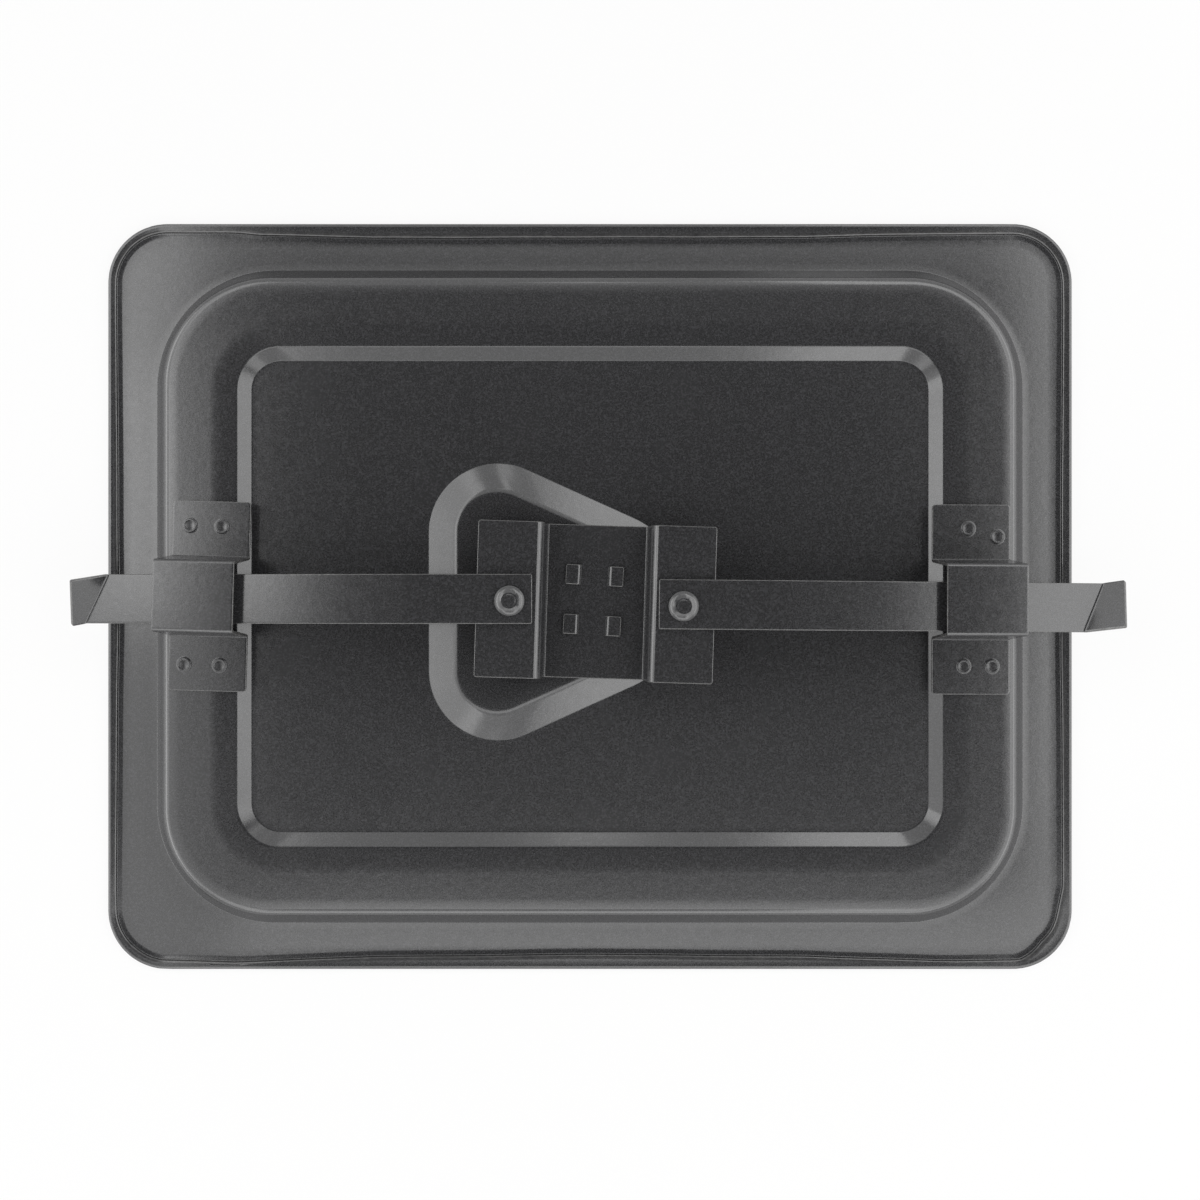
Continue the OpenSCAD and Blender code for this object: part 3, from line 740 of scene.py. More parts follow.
@dataclass
class PressedPanel:
    """The lid's pressed sheet: hem, flange, raised ring, sunk floor and plateau.

    Attributes:
        half_x, half_y, corner: outline over the hem and its corner radius.
        sheet: thickness of the sheet.
        hem_wid: nominal width of the hem folded onto the inner side.
        lip_drop: how much lower the hem's inner edge lies than its crest.
        lip_round: radius of that edge.
        ring_half, ring_corner, ring_rise: the ring's foot, its corner radius and its height.
        floor_half, floor_corner, floor_drop: the crest round the floor, and the floor's depth.
        recess_rise, recess_wall: height of the plateau and width of its sloping wall.
        recess_hub_r, recess_grip_r: radii of the plateau's foot about the hub and at its far end.
        recess_far: centre of one of the far corners, from the hub.
        hole_r: radius of the hole for the bearing.
        sag: height of the slow waves in the flats.
        stiff_edge: distance from the lid's edge over which those waves die out.
        least_turn: least angle between neighbouring bearings, in radians.
    """

    half_x: float = 130.2
    half_y: float = 100.7
    corner: float = 16.0
    sheet: float = 0.8
    hem_wid: float = 3.0
    lip_drop: float = 0.15
    lip_round: float = 0.6
    ring_half: tuple[float, float] = (117.0, 88.2)
    ring_corner: float = 32.0
    ring_rise: float = 6.1
    floor_half: tuple[float, float] = (94.4, 67.0)
    floor_corner: float = 12.0
    floor_drop: float = 2.6
    recess_rise: float = 3.2
    recess_wall: float = 7.6
    recess_hub_r: float = 24.6
    recess_grip_r: float = 18.5
    recess_far: tuple[float, float] = (-25.9, 18.4)
    hole_r: float = SLEEVE_R
    sag: float = 0.035
    stiff_edge: float = 8.0
    least_turn: float = 0.0025

    def rim(self) -> Outline:
        """Outline of the lid over its hem."""
        return Outline.box(self.half_x, self.half_y, self.corner)

    def ring(self) -> Outline:
        """Outline of the raised ring's foot."""
        return Outline.box(*self.ring_half, self.ring_corner)

    def basin(self) -> Outline:
        """Outline of the crest from which the ring slopes down to the floor."""
        return Outline.box(*self.floor_half, self.floor_corner)

    def hole(self) -> Outline:
        """Outline of the hole for the hub."""
        return Outline([(HUB[0], HUB[1], self.hole_r, 0, 360)])

    def recess(self) -> Outline:
        """Outline of the plateau's foot: three arcs about the hub and the two grip corners."""
        fx, fy = self.recess_far
        lean = math.degrees(math.atan2(-fy, -fx)) + math.degrees(
            math.acos((self.recess_grip_r - self.recess_hub_r) / math.hypot(fx, fy))
        )
        return Outline(
            [
                (HUB[0], HUB[1], self.recess_hub_r, -lean, lean),
                (HUB[0] + fx, HUB[1] + fy, self.recess_grip_r, lean, 180),
                (HUB[0] + fx, HUB[1] - fy, self.recess_grip_r, 180, 360 - lean),
            ]
        )

    def bearings(self) -> np.ndarray:
        """Bearings that all rows share: even ones, and those that cut the corners evenly."""
        parts = [
            self.rim().bearings(1.0, 14),
            self.ring().bearings(3.0, 22),
            self.basin().bearings(2.0, 12),
            self.recess().bearings(3.0, 26),
            np.linspace(-math.pi, math.pi, 200, endpoint=False),
        ]
        found = np.unique(np.round(np.concatenate(parts), 4))
        return found[np.concatenate([[True], np.diff(found) > self.least_turn])]

    def pressed_rows(self, bearings: np.ndarray) -> tuple[list[np.ndarray], list[np.ndarray]]:
        """Works out the rows from the hole's edge over plateau, floor and ring to the flange.

        Each row is one outline, drawn in by some inset and lifted to some height. The steps
        between levels are filleted profiles (inset, height); their underside is the same
        profile moved by the sheet's thickness along its normal. Flat stretches join the last
        row of one step to the first of the next.

        Args:
            bearings: bearings from the hub of each row's points.

        Returns:
            Rows of the inner face and rows of the face under it.
        """
        flange = self.sheet
        ring_top = flange + self.ring_rise
        floor_top = ring_top - self.floor_drop
        plateau = floor_top + self.recess_rise
        wall = self.recess_wall
        recess_step = fillet_path(
            [(wall + 2.6, plateau), (wall, plateau), (0, floor_top), (-2, floor_top)],
            [0, 5.0, 0.8, 0],
        )
        basin_step = fillet_path(
            [(5.6, floor_top), (4.1, floor_top), (0.55, ring_top - 0.42), (-4.6, ring_top - 0.08),
             (-7.4, ring_top - 0.07)],
            [0, 0.8, 1.9, 60.0, 0],
        )
        ring_step = fillet_path(
            [(8.2, ring_top), (4.2, ring_top + 0.06), (0.02, flange), (-2, flange)],
            [0, 3.1, 0.3, 0],
        )
        upper = [self.hole().row(bearings, 0.0, plateau)]
        under = [self.hole().row(bearings, 0.0, plateau - self.sheet)]
        for outline, step in (
            (self.recess(), recess_step),
            (self.basin(), basin_step),
            (self.ring(), ring_step),
        ):
            normal = path_normals(step)
            normal *= np.sign(normal[:, 1:2])
            for rows, profile in ((upper, step), (under, step - normal * self.sheet)):
                rows.extend(outline.row(bearings, inset, z) for inset, z in profile)
        return upper, under

    def hem_rows(self, bearings: np.ndarray) -> tuple[list[np.ndarray], np.ndarray]:
        """Works out the rows over the folded hem, round its bead and back under the flange.

        Each point of the section has an inset, a height, the share of the hem's extra width
        that it follows and its edge value: scuffing plus a painted highlight on the lip and the
        bead. The extra width moves it straight inwards.

        Args:
            bearings: bearings from the hub of each row's points.

        Returns:
            The rows and the edge value of each, scuffing plus painted highlight.
        """
        top, lip, e = self.sheet, self.hem_wid, self.lip_round
        crest = 2 * self.sheet + 0.02
        edge = crest - self.lip_drop
        q = np.linspace(-0.1, math.pi / 2 - 0.15, 8)
        # the lip's rounded edge takes half of the paler colour: a painted highlight along the lip,
        # and some scuffing
        nose = [lip - e + e * np.cos(q), edge - e + e * np.sin(q), 1 + 0 * q, 0.5 + 0 * q]
        roll = np.linspace(0, math.pi, 13)
        # the rolled bead takes a fifth of it: scuffing and a painted highlight on the hem's outer
        # edge
        bead = [top - top * np.sin(roll), crest / 2 * (1 + np.cos(roll)), 0 * roll, 0.2 + 0 * roll]
        section = np.concatenate(
            [
                [(lip + 3.6, top, 0, 0), (lip + 1.5, top, 1, 0), (lip + 1.2, top + 0.02, 1, 0)],
                [(lip + 0.9, top + 0.08, 1, 0), (lip + 0.6, top + 0.17, 1, 0)],
                [(lip + 0.3, top + 0.25, 1, 0), (lip + 0.1, top + 0.28, 1, 0)],
                np.stack(nose, axis=-1),
                [(lip - 1.0, edge + 0.06, 0.7, 0), (1.5, crest - 0.09, 0.1, 0)],
                [(1.15, crest - 0.02, 0, 0)],
                np.stack(bead, axis=-1),
                [(1.1, 0, 0, 0), (2.0, 0, 0, 0), (lip + 3.6, 0, 0, 0)],
            ]
        )
        rim = self.rim()
        more = self.lip_extra(rim.at(bearings, 0.0))[:, None]
        rows = []
        for inset, z, share, _ in section:
            near, far = rim.row(bearings, inset, z), rim.row(bearings, inset + 1, z)
            rows.append(near + (far - near) * more * share)
        return rows, section[:, 3]

    def lip_extra(self, points: np.ndarray) -> np.ndarray:
        """Width that the hem has beyond its nominal one: the table's value and a slow wander.

        Args:
            points: points of the rim, in plan.

        Returns:
            The extra width at each point.
        """
        table = np.array(HEM_WANDER)
        bearing = np.degrees(np.arctan2(points[:, 1], points[:, 0])) % 360
        x, y = points[:, 0], points[:, 1]
        wander = np.sin(x / 13 + y / 9) + 0.6 * np.sin(x / 5.3 - y / 6.1)
        return np.interp(bearing, table[:, 0], table[:, 1]) + 0.05 * wander

    def unevenness(self, points: np.ndarray) -> np.ndarray:
        """Lift of a real pressing: slow waves sin(ax + b) sin(cy + d), strongest on the flats."""
        x, y = points[..., 0], points[..., 1]
        slow = np.sin(x / 31 + 0.6) * np.sin(y / 27 - 0.4) + 0.5 * np.sin(x / 17 + y / 23)
        inside_x = np.clip((self.half_x - np.abs(x)) / self.stiff_edge, 0, 1)
        inside_y = np.clip((self.half_y - np.abs(y)) / self.stiff_edge, 0, 1)
        return self.sag * slow * (inside_x * inside_y)

    def dress(self, finish: bpy.types.Material) -> None:
        """Builds the panel and hangs it on the lid."""
        bearings = self.bearings()
        upper, under = self.pressed_rows(bearings)
        hem, hem_wear_and_sheen = self.hem_rows(bearings)
        grid = np.stack(upper + hem + under[::-1])
        # the paler edge colour, scuffing and painted highlight, goes on the hem only
        wear_and_sheen = np.concatenate([np.zeros(len(upper)), hem_wear_and_sheen, np.zeros(len(under))])
        grid[..., 2] += np.maximum(self.unevenness(grid), -grid[..., 2])
        shell = Shell()
        shell.add_grid(grid, wear_and_sheen[:, None], closed=(True, True))
        place(shell.build("pressed_panel", finish), Body.LID, "lid_panel")


# ---------------------------------------------------------------- guides


@dataclass
class BoltGuide:
    """Hat-shaped guide: two feet, two leaning walls and a bridge, with buttons on its feet.

    Attributes:
        side: the end of the lid that it stands at.
        centre: its middle, in plan.
        turn: its turn from square, in degrees.
        long: its length along the strap.
        foot_z: height of the ring that it stands on.
        thick: thickness of its sheet.
        half_top, half_base: half the bridge's outer width at its top and at its base.
        half_foot: half the width over both feet.
        rise: height of the bridge above the feet.
        bend_in: inner radius of its bends.
        button_r, button_h: radius and height of the clinched buttons.
        button_tip: how far a button's dish leans.
        buttons: places of the buttons in the guide's own axes.
    """

    side: Side
    centre: tuple[float, float]
    turn: float
    long: float = 20.6
    foot_z: float = 6.9
    thick: float = 0.8
    half_top: float = 9.15
    half_base: float = 10.55
    half_foot: float = 25.1
    rise: float = 12.0
    bend_in: float = 0.2
    button_r: float = 1.75
    button_h: float = 0.34
    button_tip: float = 0.07
    buttons: tuple[tuple[float, float], ...] = ()

    def folds(self) -> tuple[list[Fold], float, np.ndarray]:
        """Works out the folds of one hat section from its sharp corners.

        A bend of angle a and outer radius r starts r tan(a / 2) before its sharp corner and
        takes r' a of the blank, r' being the radius of the middle of the sheet.

        Returns:
            The folds, outermost first, half the blank's length and stations for the bends.
        """
        angle = math.pi / 2 - math.atan2(self.half_base - self.half_top, self.rise)
        t, r = self.thick, self.bend_in
        top_reach = (r + t) * math.tan(angle / 2)
        low_reach = r * math.tan(angle / 2)
        wall = math.hypot(self.half_base - self.half_top, self.rise) - top_reach - low_reach
        arc = (r + t / 2) * angle
        top_at = self.half_top - top_reach
        low_at = top_at + arc + wall
        last = low_at + arc + self.half_foot - self.half_base - low_reach
        bends = []
        for s in (1.0, -1.0):
            bends.append(Fold((s * low_at, 0), (s, 0), math.degrees(angle), r))
            bends.append(Fold((s * top_at, 0), (s, 0), -math.degrees(angle), r))
        around = np.linspace(-0.3, arc + 0.3, 12)
        return bends, last, mirrored_ends(np.concatenate([top_at + around, low_at + around]))

    def button(self) -> np.ndarray:
        """Clinched button: a raised rim about a dish whose floor d + e x leans to one side."""
        r, h = self.button_r, self.button_h
        path = fillet_path(
            [(r + 0.55, -0.02), (r + 0.15, 0.02), (r - 0.05, h), (r - 0.35, h), (r - 0.5, 0.4 * h),
             (0, 0.45 * h)],
            [0, 0.2, 0.12, 0.12, 0.2, 0],
            5,
        )
        grid = revolve(path, 48)
        dish = np.clip((r - 0.3 - np.hypot(grid[..., 0], grid[..., 1])) / 0.3, 0, 1)
        grid[..., 2] += dish * self.button_tip * grid[..., 0] / r * self.side.value
        return grid

    def on_lid(self, points: np.ndarray) -> np.ndarray:
        """Carries points from the guide's own axes to the lid's."""
        return moved(turned(points, math.radians(self.turn)), *self.centre)

    def dress(self, finish: bpy.types.Material) -> None:
        """Builds the guide and hangs it on the lid."""
        bends, last, stations = self.folds()
        blank = Blank(-last, last, self.long, self.thick, 0.2, 1.0, stations=tuple(stations))
        grid, wear_and_sheen = blank.shell(bends)
        grid = moved(turned(grid, math.pi / 2), z=self.foot_z + self.rise)
        shell = Shell()
        blank.add_to(shell, self.on_lid(grid), wear_and_sheen)
        for x, y in self.buttons:
            button = moved(self.button(), x, y, self.foot_z + self.thick)
            shell.add_grid(self.on_lid(button), closed=(True, False), flip=True)
        piece = shell.build(f"{self.side.word}_bolt_guide", finish)
        place(piece, Body.LID, f"{self.side.word}_guide")


# ---------------------------------------------------------------- hub, crank and bail


@dataclass
class CrankPlate:
    """Folded plate with a sunk middle and two raised ends.

    Attributes:
        long, wide, thick: the plate's size once folded.
        mid, shoulder: half the length of the channel at its floor and at its crests.
        channel_x: how far the channel lies off the plate's middle.
        rise, low: height of the raised ends above the middle, and the middle's underside.
        foot_bend, crest_bend: inner radii of the lower and the upper bends.
    """

    long: float = 61.0
    wide: float = 40.2
    thick: float = CRANK_T
    mid: float = 12.88
    shoulder: float = 14.1
    channel_x: float = 0.1
    rise: float = CRANK_RISE
    low: float = CRANK_LOW
    foot_bend: float = 0.3
    crest_bend: float = 1.35

    def dress(self, finish: bpy.types.Material) -> None:
        """Builds the plate from a blank with four folds and hangs it on the crank."""
        angle = math.atan2(self.rise, self.shoulder - self.mid)
        t, slant = self.thick, math.tan(angle / 2)
        foot, crest = self.foot_bend, self.crest_bend
        foot_arc, crest_arc = (foot + t / 2) * angle, (crest + t / 2) * angle
        low_at = self.mid - foot * slant
        wall = math.hypot(self.rise, self.shoulder - self.mid) - (foot + crest + t) * slant
        high_at = low_at + foot_arc + wall
        last = high_at + crest_arc + self.long / 2 - self.shoulder - (crest + t) * slant
        bends = []
        for s in (1.0, -1.0):
            for at, up, inner in ((high_at, -1, crest), (low_at, 1, foot)):
                line = (self.channel_x + s * at, 0)
                bends.append(Fold(line, (s, 0), up * math.degrees(angle), inner))
        around_foot = low_at + np.linspace(-0.3, foot_arc + 0.3, 12)
        around_crest = high_at + np.linspace(-0.3, crest_arc + 0.3, 16)
        arm = np.concatenate([around_foot, around_crest])
        stations = tuple(mirrored_ends(arm) + self.channel_x)
        blank = Blank(-last, last, self.wide, t, 0.2, 0.7, stations=stations)
        grid, wear_and_sheen = blank.shell(bends)
        shell = Shell()
        blank.add_to(shell, on_crank(moved(grid, z=self.low)), wear_and_sheen)
        place(shell.build("folded_crank", finish), Body.CRANK, "crank_plate")


@dataclass
class HandleHub:
    """Drawn hub with four clinched tabs over the crank and two knuckles for the bail.

    Attributes:
        plate_z, plate_r: underside and radius of the plate in the recess.
        neck_r: outer radius of the neck that turns in the bearing.
        sheet: thickness of its sheet.
        crank_low, crank_top: faces of the crank's middle that it is clinched to.
        tab: length and width of a tab.
        tab_at: middle of a tab from the hub, along and across the crank.
        tab_shift, tab_turn: how far the four tabs as a group came out off centre and turned.
        tab_fold: inner radius of a tab's fold.
        tab_root: length of a tab's strip that stays in its slot and bend.
        wire_z, pivot: height of the bail's wire and distance of its pivot from the hub.
        knuckle: a knuckle's outer radius and the distances of its two ends from the hub.
        knuckle_edge: radius that a knuckle's ends are rounded to.
        knuckle_sink: how far a knuckle runs into the plate.
    """

    plate_z: float = 4.6
    plate_r: float = 17.6
    neck_r: float = 12.0
    sheet: float = 1.0
    crank_low: float = CRANK_LOW
    crank_top: float = CRANK_LOW + CRANK_T
    tab: tuple[float, float] = (4.15, 5.2)
    tab_at: tuple[float, float] = (5.5, 6.5)
    tab_shift: tuple[float, float] = (-0.55, 0.4)
    tab_turn: float = -1.4
    tab_fold: float = 0.25
    tab_root: float = 2.4
    wire_z: float = WIRE_Z
    pivot: float = PIVOT
    knuckle: tuple[float, float, float] = (2.05, 7.5, 12.5)
    knuckle_edge: float = 0.3
    knuckle_sink: float = 0.3

    def cup(self) -> np.ndarray:
        """Section of plate and neck: closed top, open towards the outer side."""
        z, r, t = self.plate_z, self.neck_r, self.sheet
        return fillet_path(
            [(0, self.crank_low - t), (r - t, self.crank_low - t), (r - t, z), (self.plate_r, z),
             (self.plate_r, z + t), (r, z + t), (r, self.crank_low), (0, self.crank_low)],
            [0, 0.7, 0.8, 0.3, 0.3, 0.2, 1.2, 0],
            5,
        )

    def add_tab(self, shell: Shell, sx: int, sy: int) -> None:
        """Adds one tab: a strip that rises through its slot and is folded outward."""
        long, wide = self.tab
        fold_at = long - self.tab_fold - self.sheet
        stations = tuple(fold_at + np.linspace(-1.1, 1.3, 14))
        blank = Blank(0, long + self.tab_root, wide, self.sheet, 0.22, 0.45, stations, across=0.9)
        grid, wear_and_sheen = blank.shell([Fold((fold_at, 0), (1, 0), -90, self.tab_fold)])
        grid[..., 0] = self.tab_at[0] + long / 2 - grid[..., 0]
        grid = moved(grid, y=self.tab_at[1], z=self.crank_top)
        grid[..., 0] *= sx
        grid[..., 1] *= sy
        grid = moved(turned(grid, math.radians(self.tab_turn)), *self.tab_shift)
        blank.add_to(shell, on_crank(grid), wear_and_sheen)

    def add_knuckle(self, shell: Shell, sy: int) -> None:
        """Adds one knuckle: half a circle under the wire, straight sides up to the plate."""
        r, near, far = self.knuckle
        t = np.linspace(math.pi, 2 * math.pi, 25)
        loop = np.stack([r * np.cos(t), r * np.sin(t)], axis=-1)
        high = self.plate_z - self.wire_z + self.knuckle_sink
        rising = np.linspace(0, high, 5)[1:, None]
        loop = np.concatenate(
            [loop, np.hstack([r + 0 * rising, rising]), np.hstack([-r + 0 * rising, rising])[::-1]]
        )
        s = np.linspace(0, math.pi / 2, 5)
        e = self.knuckle_edge
        out, back = e * np.sin(s), e - e * np.cos(s)
        along = np.concatenate([near + e - out[::-1], far - e + out])
        shrink = np.concatenate([back[::-1], back]) / r
        middle = np.array([0, high / 2 - r / 2])
        grid = (loop[None] - middle) * (1 - shrink)[:, None, None] + middle
        pole = np.broadcast_to(middle, (1, *grid.shape[1:]))
        grid = np.concatenate([pole, grid, pole])
        across = np.concatenate([along[:1], along, along[-1:]])[:, None] + 0 * grid[..., 0]
        points = np.stack([grid[..., 0] - self.pivot, across, grid[..., 1] + self.wire_z], axis=-1)
        points[..., 1] *= sy
        shell.add_grid(on_crank(points))

    def dress(self, finish: bpy.types.Material) -> None:
        """Builds the hub and hangs it on the crank."""
        shell = Shell()
        shell.add_grid(revolve(self.cup(), 128, tuple(HUB)), closed=(True, False))
        for sx in (-1, 1):
            for sy in (-1, 1):
                self.add_tab(shell, sx, sy)
        for sy in (-1, 1):
            self.add_knuckle(shell, sy)
        place(shell.build("clinched_hub", finish), Body.CRANK, "handle_hub")


@dataclass
class WireBail:
    """Folding triangular bail bent from wire.

    Attributes:
        wire_r, wire_z: radius of the wire and height of its middle.
        pivot: distance of the pivot from the hub.
        pin_in, start: distances from the hub at which each pin ends and the wire starts to bend.
        bend: radius of the bend beside the pin.
        far, far_r: centre of one grip corner from the hub, and its radius.
        end_round: radius that the wire's ends are rounded to.
        tip_r: radius of the last ring of points, nearly a point.
    """

    wire_r: float = 1.2
    wire_z: float = WIRE_Z
    pivot: float = PIVOT
    pin_in: float = 7.0
    start: float = 13.5
    bend: float = 4.0
    far: tuple[float, float] = (-25.5, 17.5)
    far_r: float = 11.5
    end_round: float = 0.35
    tip_r: float = 1e-3

    def path(self) -> np.ndarray:
        """Middle line of the wire: pin, bend, side, grip corner, grip, and the same back.

        The side is the common tangent of the two bends, at the angle
        atan2(dy, dx) + acos((R2 - R1) / d) for centres d apart.

        Returns:
            Points (x, y) from one end to the other.
        """
        near = np.array([-self.pivot - self.bend, self.start])
        far = np.array(self.far)
        d = near - far
        lean = math.atan2(d[1], d[0]) + math.acos((self.far_r - self.bend) / np.linalg.norm(d))
        a = np.linspace(0, lean, 16)
        b = np.linspace(lean, math.pi, 30)
        pin_y = np.linspace(self.pin_in, self.start, 7)[:-1]
        pin = np.stack([np.full(6, -self.pivot), pin_y], axis=-1)
        first = near + self.bend * np.stack([np.cos(a), np.sin(a)], axis=-1)
        second = far + self.far_r * np.stack([np.cos(b), np.sin(b)], axis=-1)
        side = first[-1] + (second[0] - first[-1]) * np.linspace(0, 1, 8)[1:-1, None]
        half = np.concatenate([pin, first, side, second])
        grip = np.stack([np.full(5, half[-1, 0]), np.linspace(half[-1, 1], 0, 6)[1:]], axis=-1)
        half = np.concatenate([half, grip])
        return np.concatenate([half, (half * [1, -1])[::-1][1:]])

    def dress(self, finish: bpy.types.Material) -> None:
        """Sweeps a circle along the wire's path, rounds its ends and hangs it on the bail."""
        line = self.path()
        normal = path_normals(line)
        tangent = np.stack([normal[:, 1], -normal[:, 0]], axis=-1)
        t = np.linspace(0, 2 * math.pi, 28, endpoint=False)
        s = np.linspace(0, math.pi / 2, 5)
        e = self.end_round
        back = (e - e * np.sin(s))[:, None]
        head = line[0] + tangent[0] * back[::-1]
        tail = line[-1] - tangent[-1] * back
        middle = np.concatenate([head[:1], head, line[1:-1], tail, tail[-1:]])
        end_r = self.wire_r - e + e * np.cos(s)
        between = np.full(len(line) - 2, self.wire_r)
        radius = np.concatenate([[self.tip_r], end_r[::-1], between, end_r, [self.tip_r]])
        count = len(s) + 1
        first, last = normal[:1].repeat(count, 0), normal[-1:].repeat(count, 0)
        normal = np.concatenate([first, normal[1:-1], last])
        plan = middle[:, None] + (radius[:, None] * np.cos(t))[..., None] * normal[:, None]
        height = self.wire_z + radius[:, None] * np.sin(t)
        shell = Shell()
        shell.add_grid(on_crank(np.concatenate([plan, height[..., None]], axis=-1)))
        place(shell.build("wire_bail", finish, merge=2e-3), Body.BAIL, "bail_handle")


# ---------------------------------------------------------------- bolts and rivets


@dataclass
class StrapBolt:
    """Flat strap with a slight downward set and a skewed wing bent up at its end.

    Attributes:
        side: the end of the lid that it reaches for.
        turn: its turn from the lid's long axis, in degrees.
        wing: length of the wing beyond its bend, at the strap's middle line.
        bend, skew: angles of the wing's bend and of its crease, in degrees.
        offset: how far the middle line passes beside the rivet.
        wide, thick: section of the strap.
        tail: length inboard of the rivet.
        flat: distance from the rivet at which the strap starts to slope down.
        long: distance in plan from the rivet to the crease.
        slope: angle of the slope in degrees.
        set_round: inner radius of the bend into the slope.
        inner: inner radius of the wing's bend.
        low: height of the strap's underside at the rivet.
    """

    side: Side
    turn: float
    wing: float
    bend: float
    skew: float
    offset: float = 0.45
    wide: float = 12.7
    thick: float = 1.0
    tail: float = 6.0
    flat: float = 26.0
    long: float = 106.2
    slope: float = 3.5
    set_round: float = 25.0
    inner: float = 0.6
    low: float = STRAP_LOW

    def dress(self, finish: bpy.types.Material) -> None:
        """Builds the strap from a blank with two folds and hangs it on its own body."""
        slope = math.radians(self.slope)
        crease = self.flat + (self.long - self.flat) / math.cos(slope)
        arc = (self.inner + self.thick / 2) * math.radians(self.bend)
        last = crease + arc / math.cos(math.radians(self.skew)) + self.wing
        ease = self.set_round * slope / 2
        skew = math.radians(-self.skew)
        wing = Fold((crease, 0), (math.cos(skew), math.sin(skew)), self.bend, self.inner)
        down = Fold((self.flat - ease, 0), (1, 0), -self.slope, self.set_round)
        reach = self.wide / 2 * math.tan(math.radians(self.skew))
        around_set = np.linspace(self.flat - ease - 0.4, self.flat + ease + 0.4, 8)
        around_wing = np.arange(crease - reach - 0.3, crease + arc + reach + 0.9, 0.22)
        stations = tuple(np.concatenate([around_set, around_wing]))
        blank = Blank(-self.tail, last, self.wide, self.thick, 0.22, 0.5, stations, across=0.8)
        grid, wear_and_sheen = blank.shell([wing, down])
        heading = math.radians(self.turn) + (math.pi if self.side is Side.LEFT else 0)
        grid = turned(moved(grid, y=self.side.value * self.offset), heading)
        rivet = rivet_axis(self.side)
        shell = Shell()
        blank.add_to(shell, moved(grid, rivet[0], rivet[1], self.low), wear_and_sheen)
        piece = shell.build(f"{self.side.word}_strap_bolt", finish)
        place(piece, self.side.bolt, f"{self.side.word}_bolt")


@dataclass
class Rivet:
    """Domed rivet with a dished crown, its shank and its upset tail.

    Attributes:
        side: which strap it pins.
        shank: radius of the shank.
        head_r, head_h, head_z: radius, height and seat of the head.
        brow_r: radius at which the dome turns steep.
        crown_r, crown_dish: radius of the crown's rim and depth of the dish within it.
        tail_r, tail_h: radius and height of the upset tail.
        head_shift: how far the head was struck off the shank's axis.
    """

    side: Side
    shank: float = 2.5
    head_r: float = 3.85
    head_h: float = 1.5
    head_z: float = 18.8
    brow_r: float = 3.2
    crown_r: float = 1.9
    crown_dish: float = 0.1
    tail_r: float = 3.465
    tail_h: float = 1.0
    head_shift: float = 0.25

    def dress(self, finish: bpy.types.Material) -> None:
        """Revolves the rivet's section about its axis and hangs it on the crank."""
        z, r, h = self.head_z, self.head_r, self.head_h
        tail, seat = self.tail_r, CRANK_HIGH - BURR_T
        low = seat - self.tail_h
        dish = (self.crown_r - 0.45, z + h - self.crown_dish)
        path = fillet_path(
            [(0, dish[1]), dish, (self.crown_r, z + h), (self.brow_r, z + h * 0.72),
             (r, z + h * 0.3), (r, z), (self.shank, z), (self.shank, seat), (tail, seat),
             (tail, low + 0.25), (tail * 2 / 3, low), (0, low)],
            [0, 0.3, 0.8, 2.4, 0.12, 0.1, 0.05, 0.1, 0.25, 0.3, 0.5, 0],
            6,
        )
        axis = rivet_axis(self.side)
        grid = revolve(path, 64, (axis[0], axis[1]))
        grid[..., 0] += self.head_shift * (grid[..., 2] > z - 0.01)
        shell = Shell()
        shell.add_grid(grid, closed=(True, False), flip=True)
        piece = shell.build(f"{self.side.word}_domed_rivet", finish)
        place(piece, Body.CRANK, f"{self.side.word}_rivet")


# ---------------------------------------------------------------- washers and bearing


@dataclass
class FlatRing:
    """Stamped ring: a washer about the hub or about a rivet.

    Attributes:
        name, node, body, slot: the piece's name, the node and body for place(), and the name of its
            finish.
        r_in, r_out, low, high: the ring's section.
        edge: radius that its edges are rounded to.
        rivet: the side whose rivet it sits on; the hub where it is None.
        wave: height of the three waves bent into it.
    """

    name: str
    node: str
    body: Body
    slot: str
    r_in: float
    r_out: float
    low: float
    high: float
    edge: float = 0.12
    rivet: Side | None = None
    wave: float = 0.0

    def dress(self, finish: bpy.types.Material) -> None:
        """Revolves the ring's section, lifted by wave cos(3 t), and hangs it on its body."""
        centre = rivet_axis(self.rivet) if self.rivet else HUB
        profile = ring_profile(self.r_in, self.r_out, self.low, self.high, self.edge)
        grid = revolve(profile, 120, (centre[0], centre[1]))
        t = np.linspace(0, 2 * math.pi, 120, endpoint=False)[:, None]
        grid[..., 2] += self.wave * np.cos(3 * t)
        shell = Shell()
        shell.add_grid(grid, closed=(True, True))
        place(shell.build(self.name, finish), self.body, self.node)


def hub_rings() -> list[FlatRing]:
    """The plain washers and the waved one about the hub, from the inner side outwards."""
    stack = (
        ("inner_thrust_ring", "inner_thrust_washer", "washer_steel", 8.1, 8.8, 0.12, 0.0),
        ("outer_thrust_ring", "outer_thrust_washer", "washer_steel", 6.1, 6.7, 0.12, 0.0),
        ("waved_ring", "friction_washer", "spring_steel", 5.7, 6.0, 0.08, 0.1),
    )
    return [
        FlatRing(name, node, Body.LID, slot, 12.1, 16.0, low, high, edge, wave=wave)
        for name, node, slot, low, high, edge, wave in stack
    ]


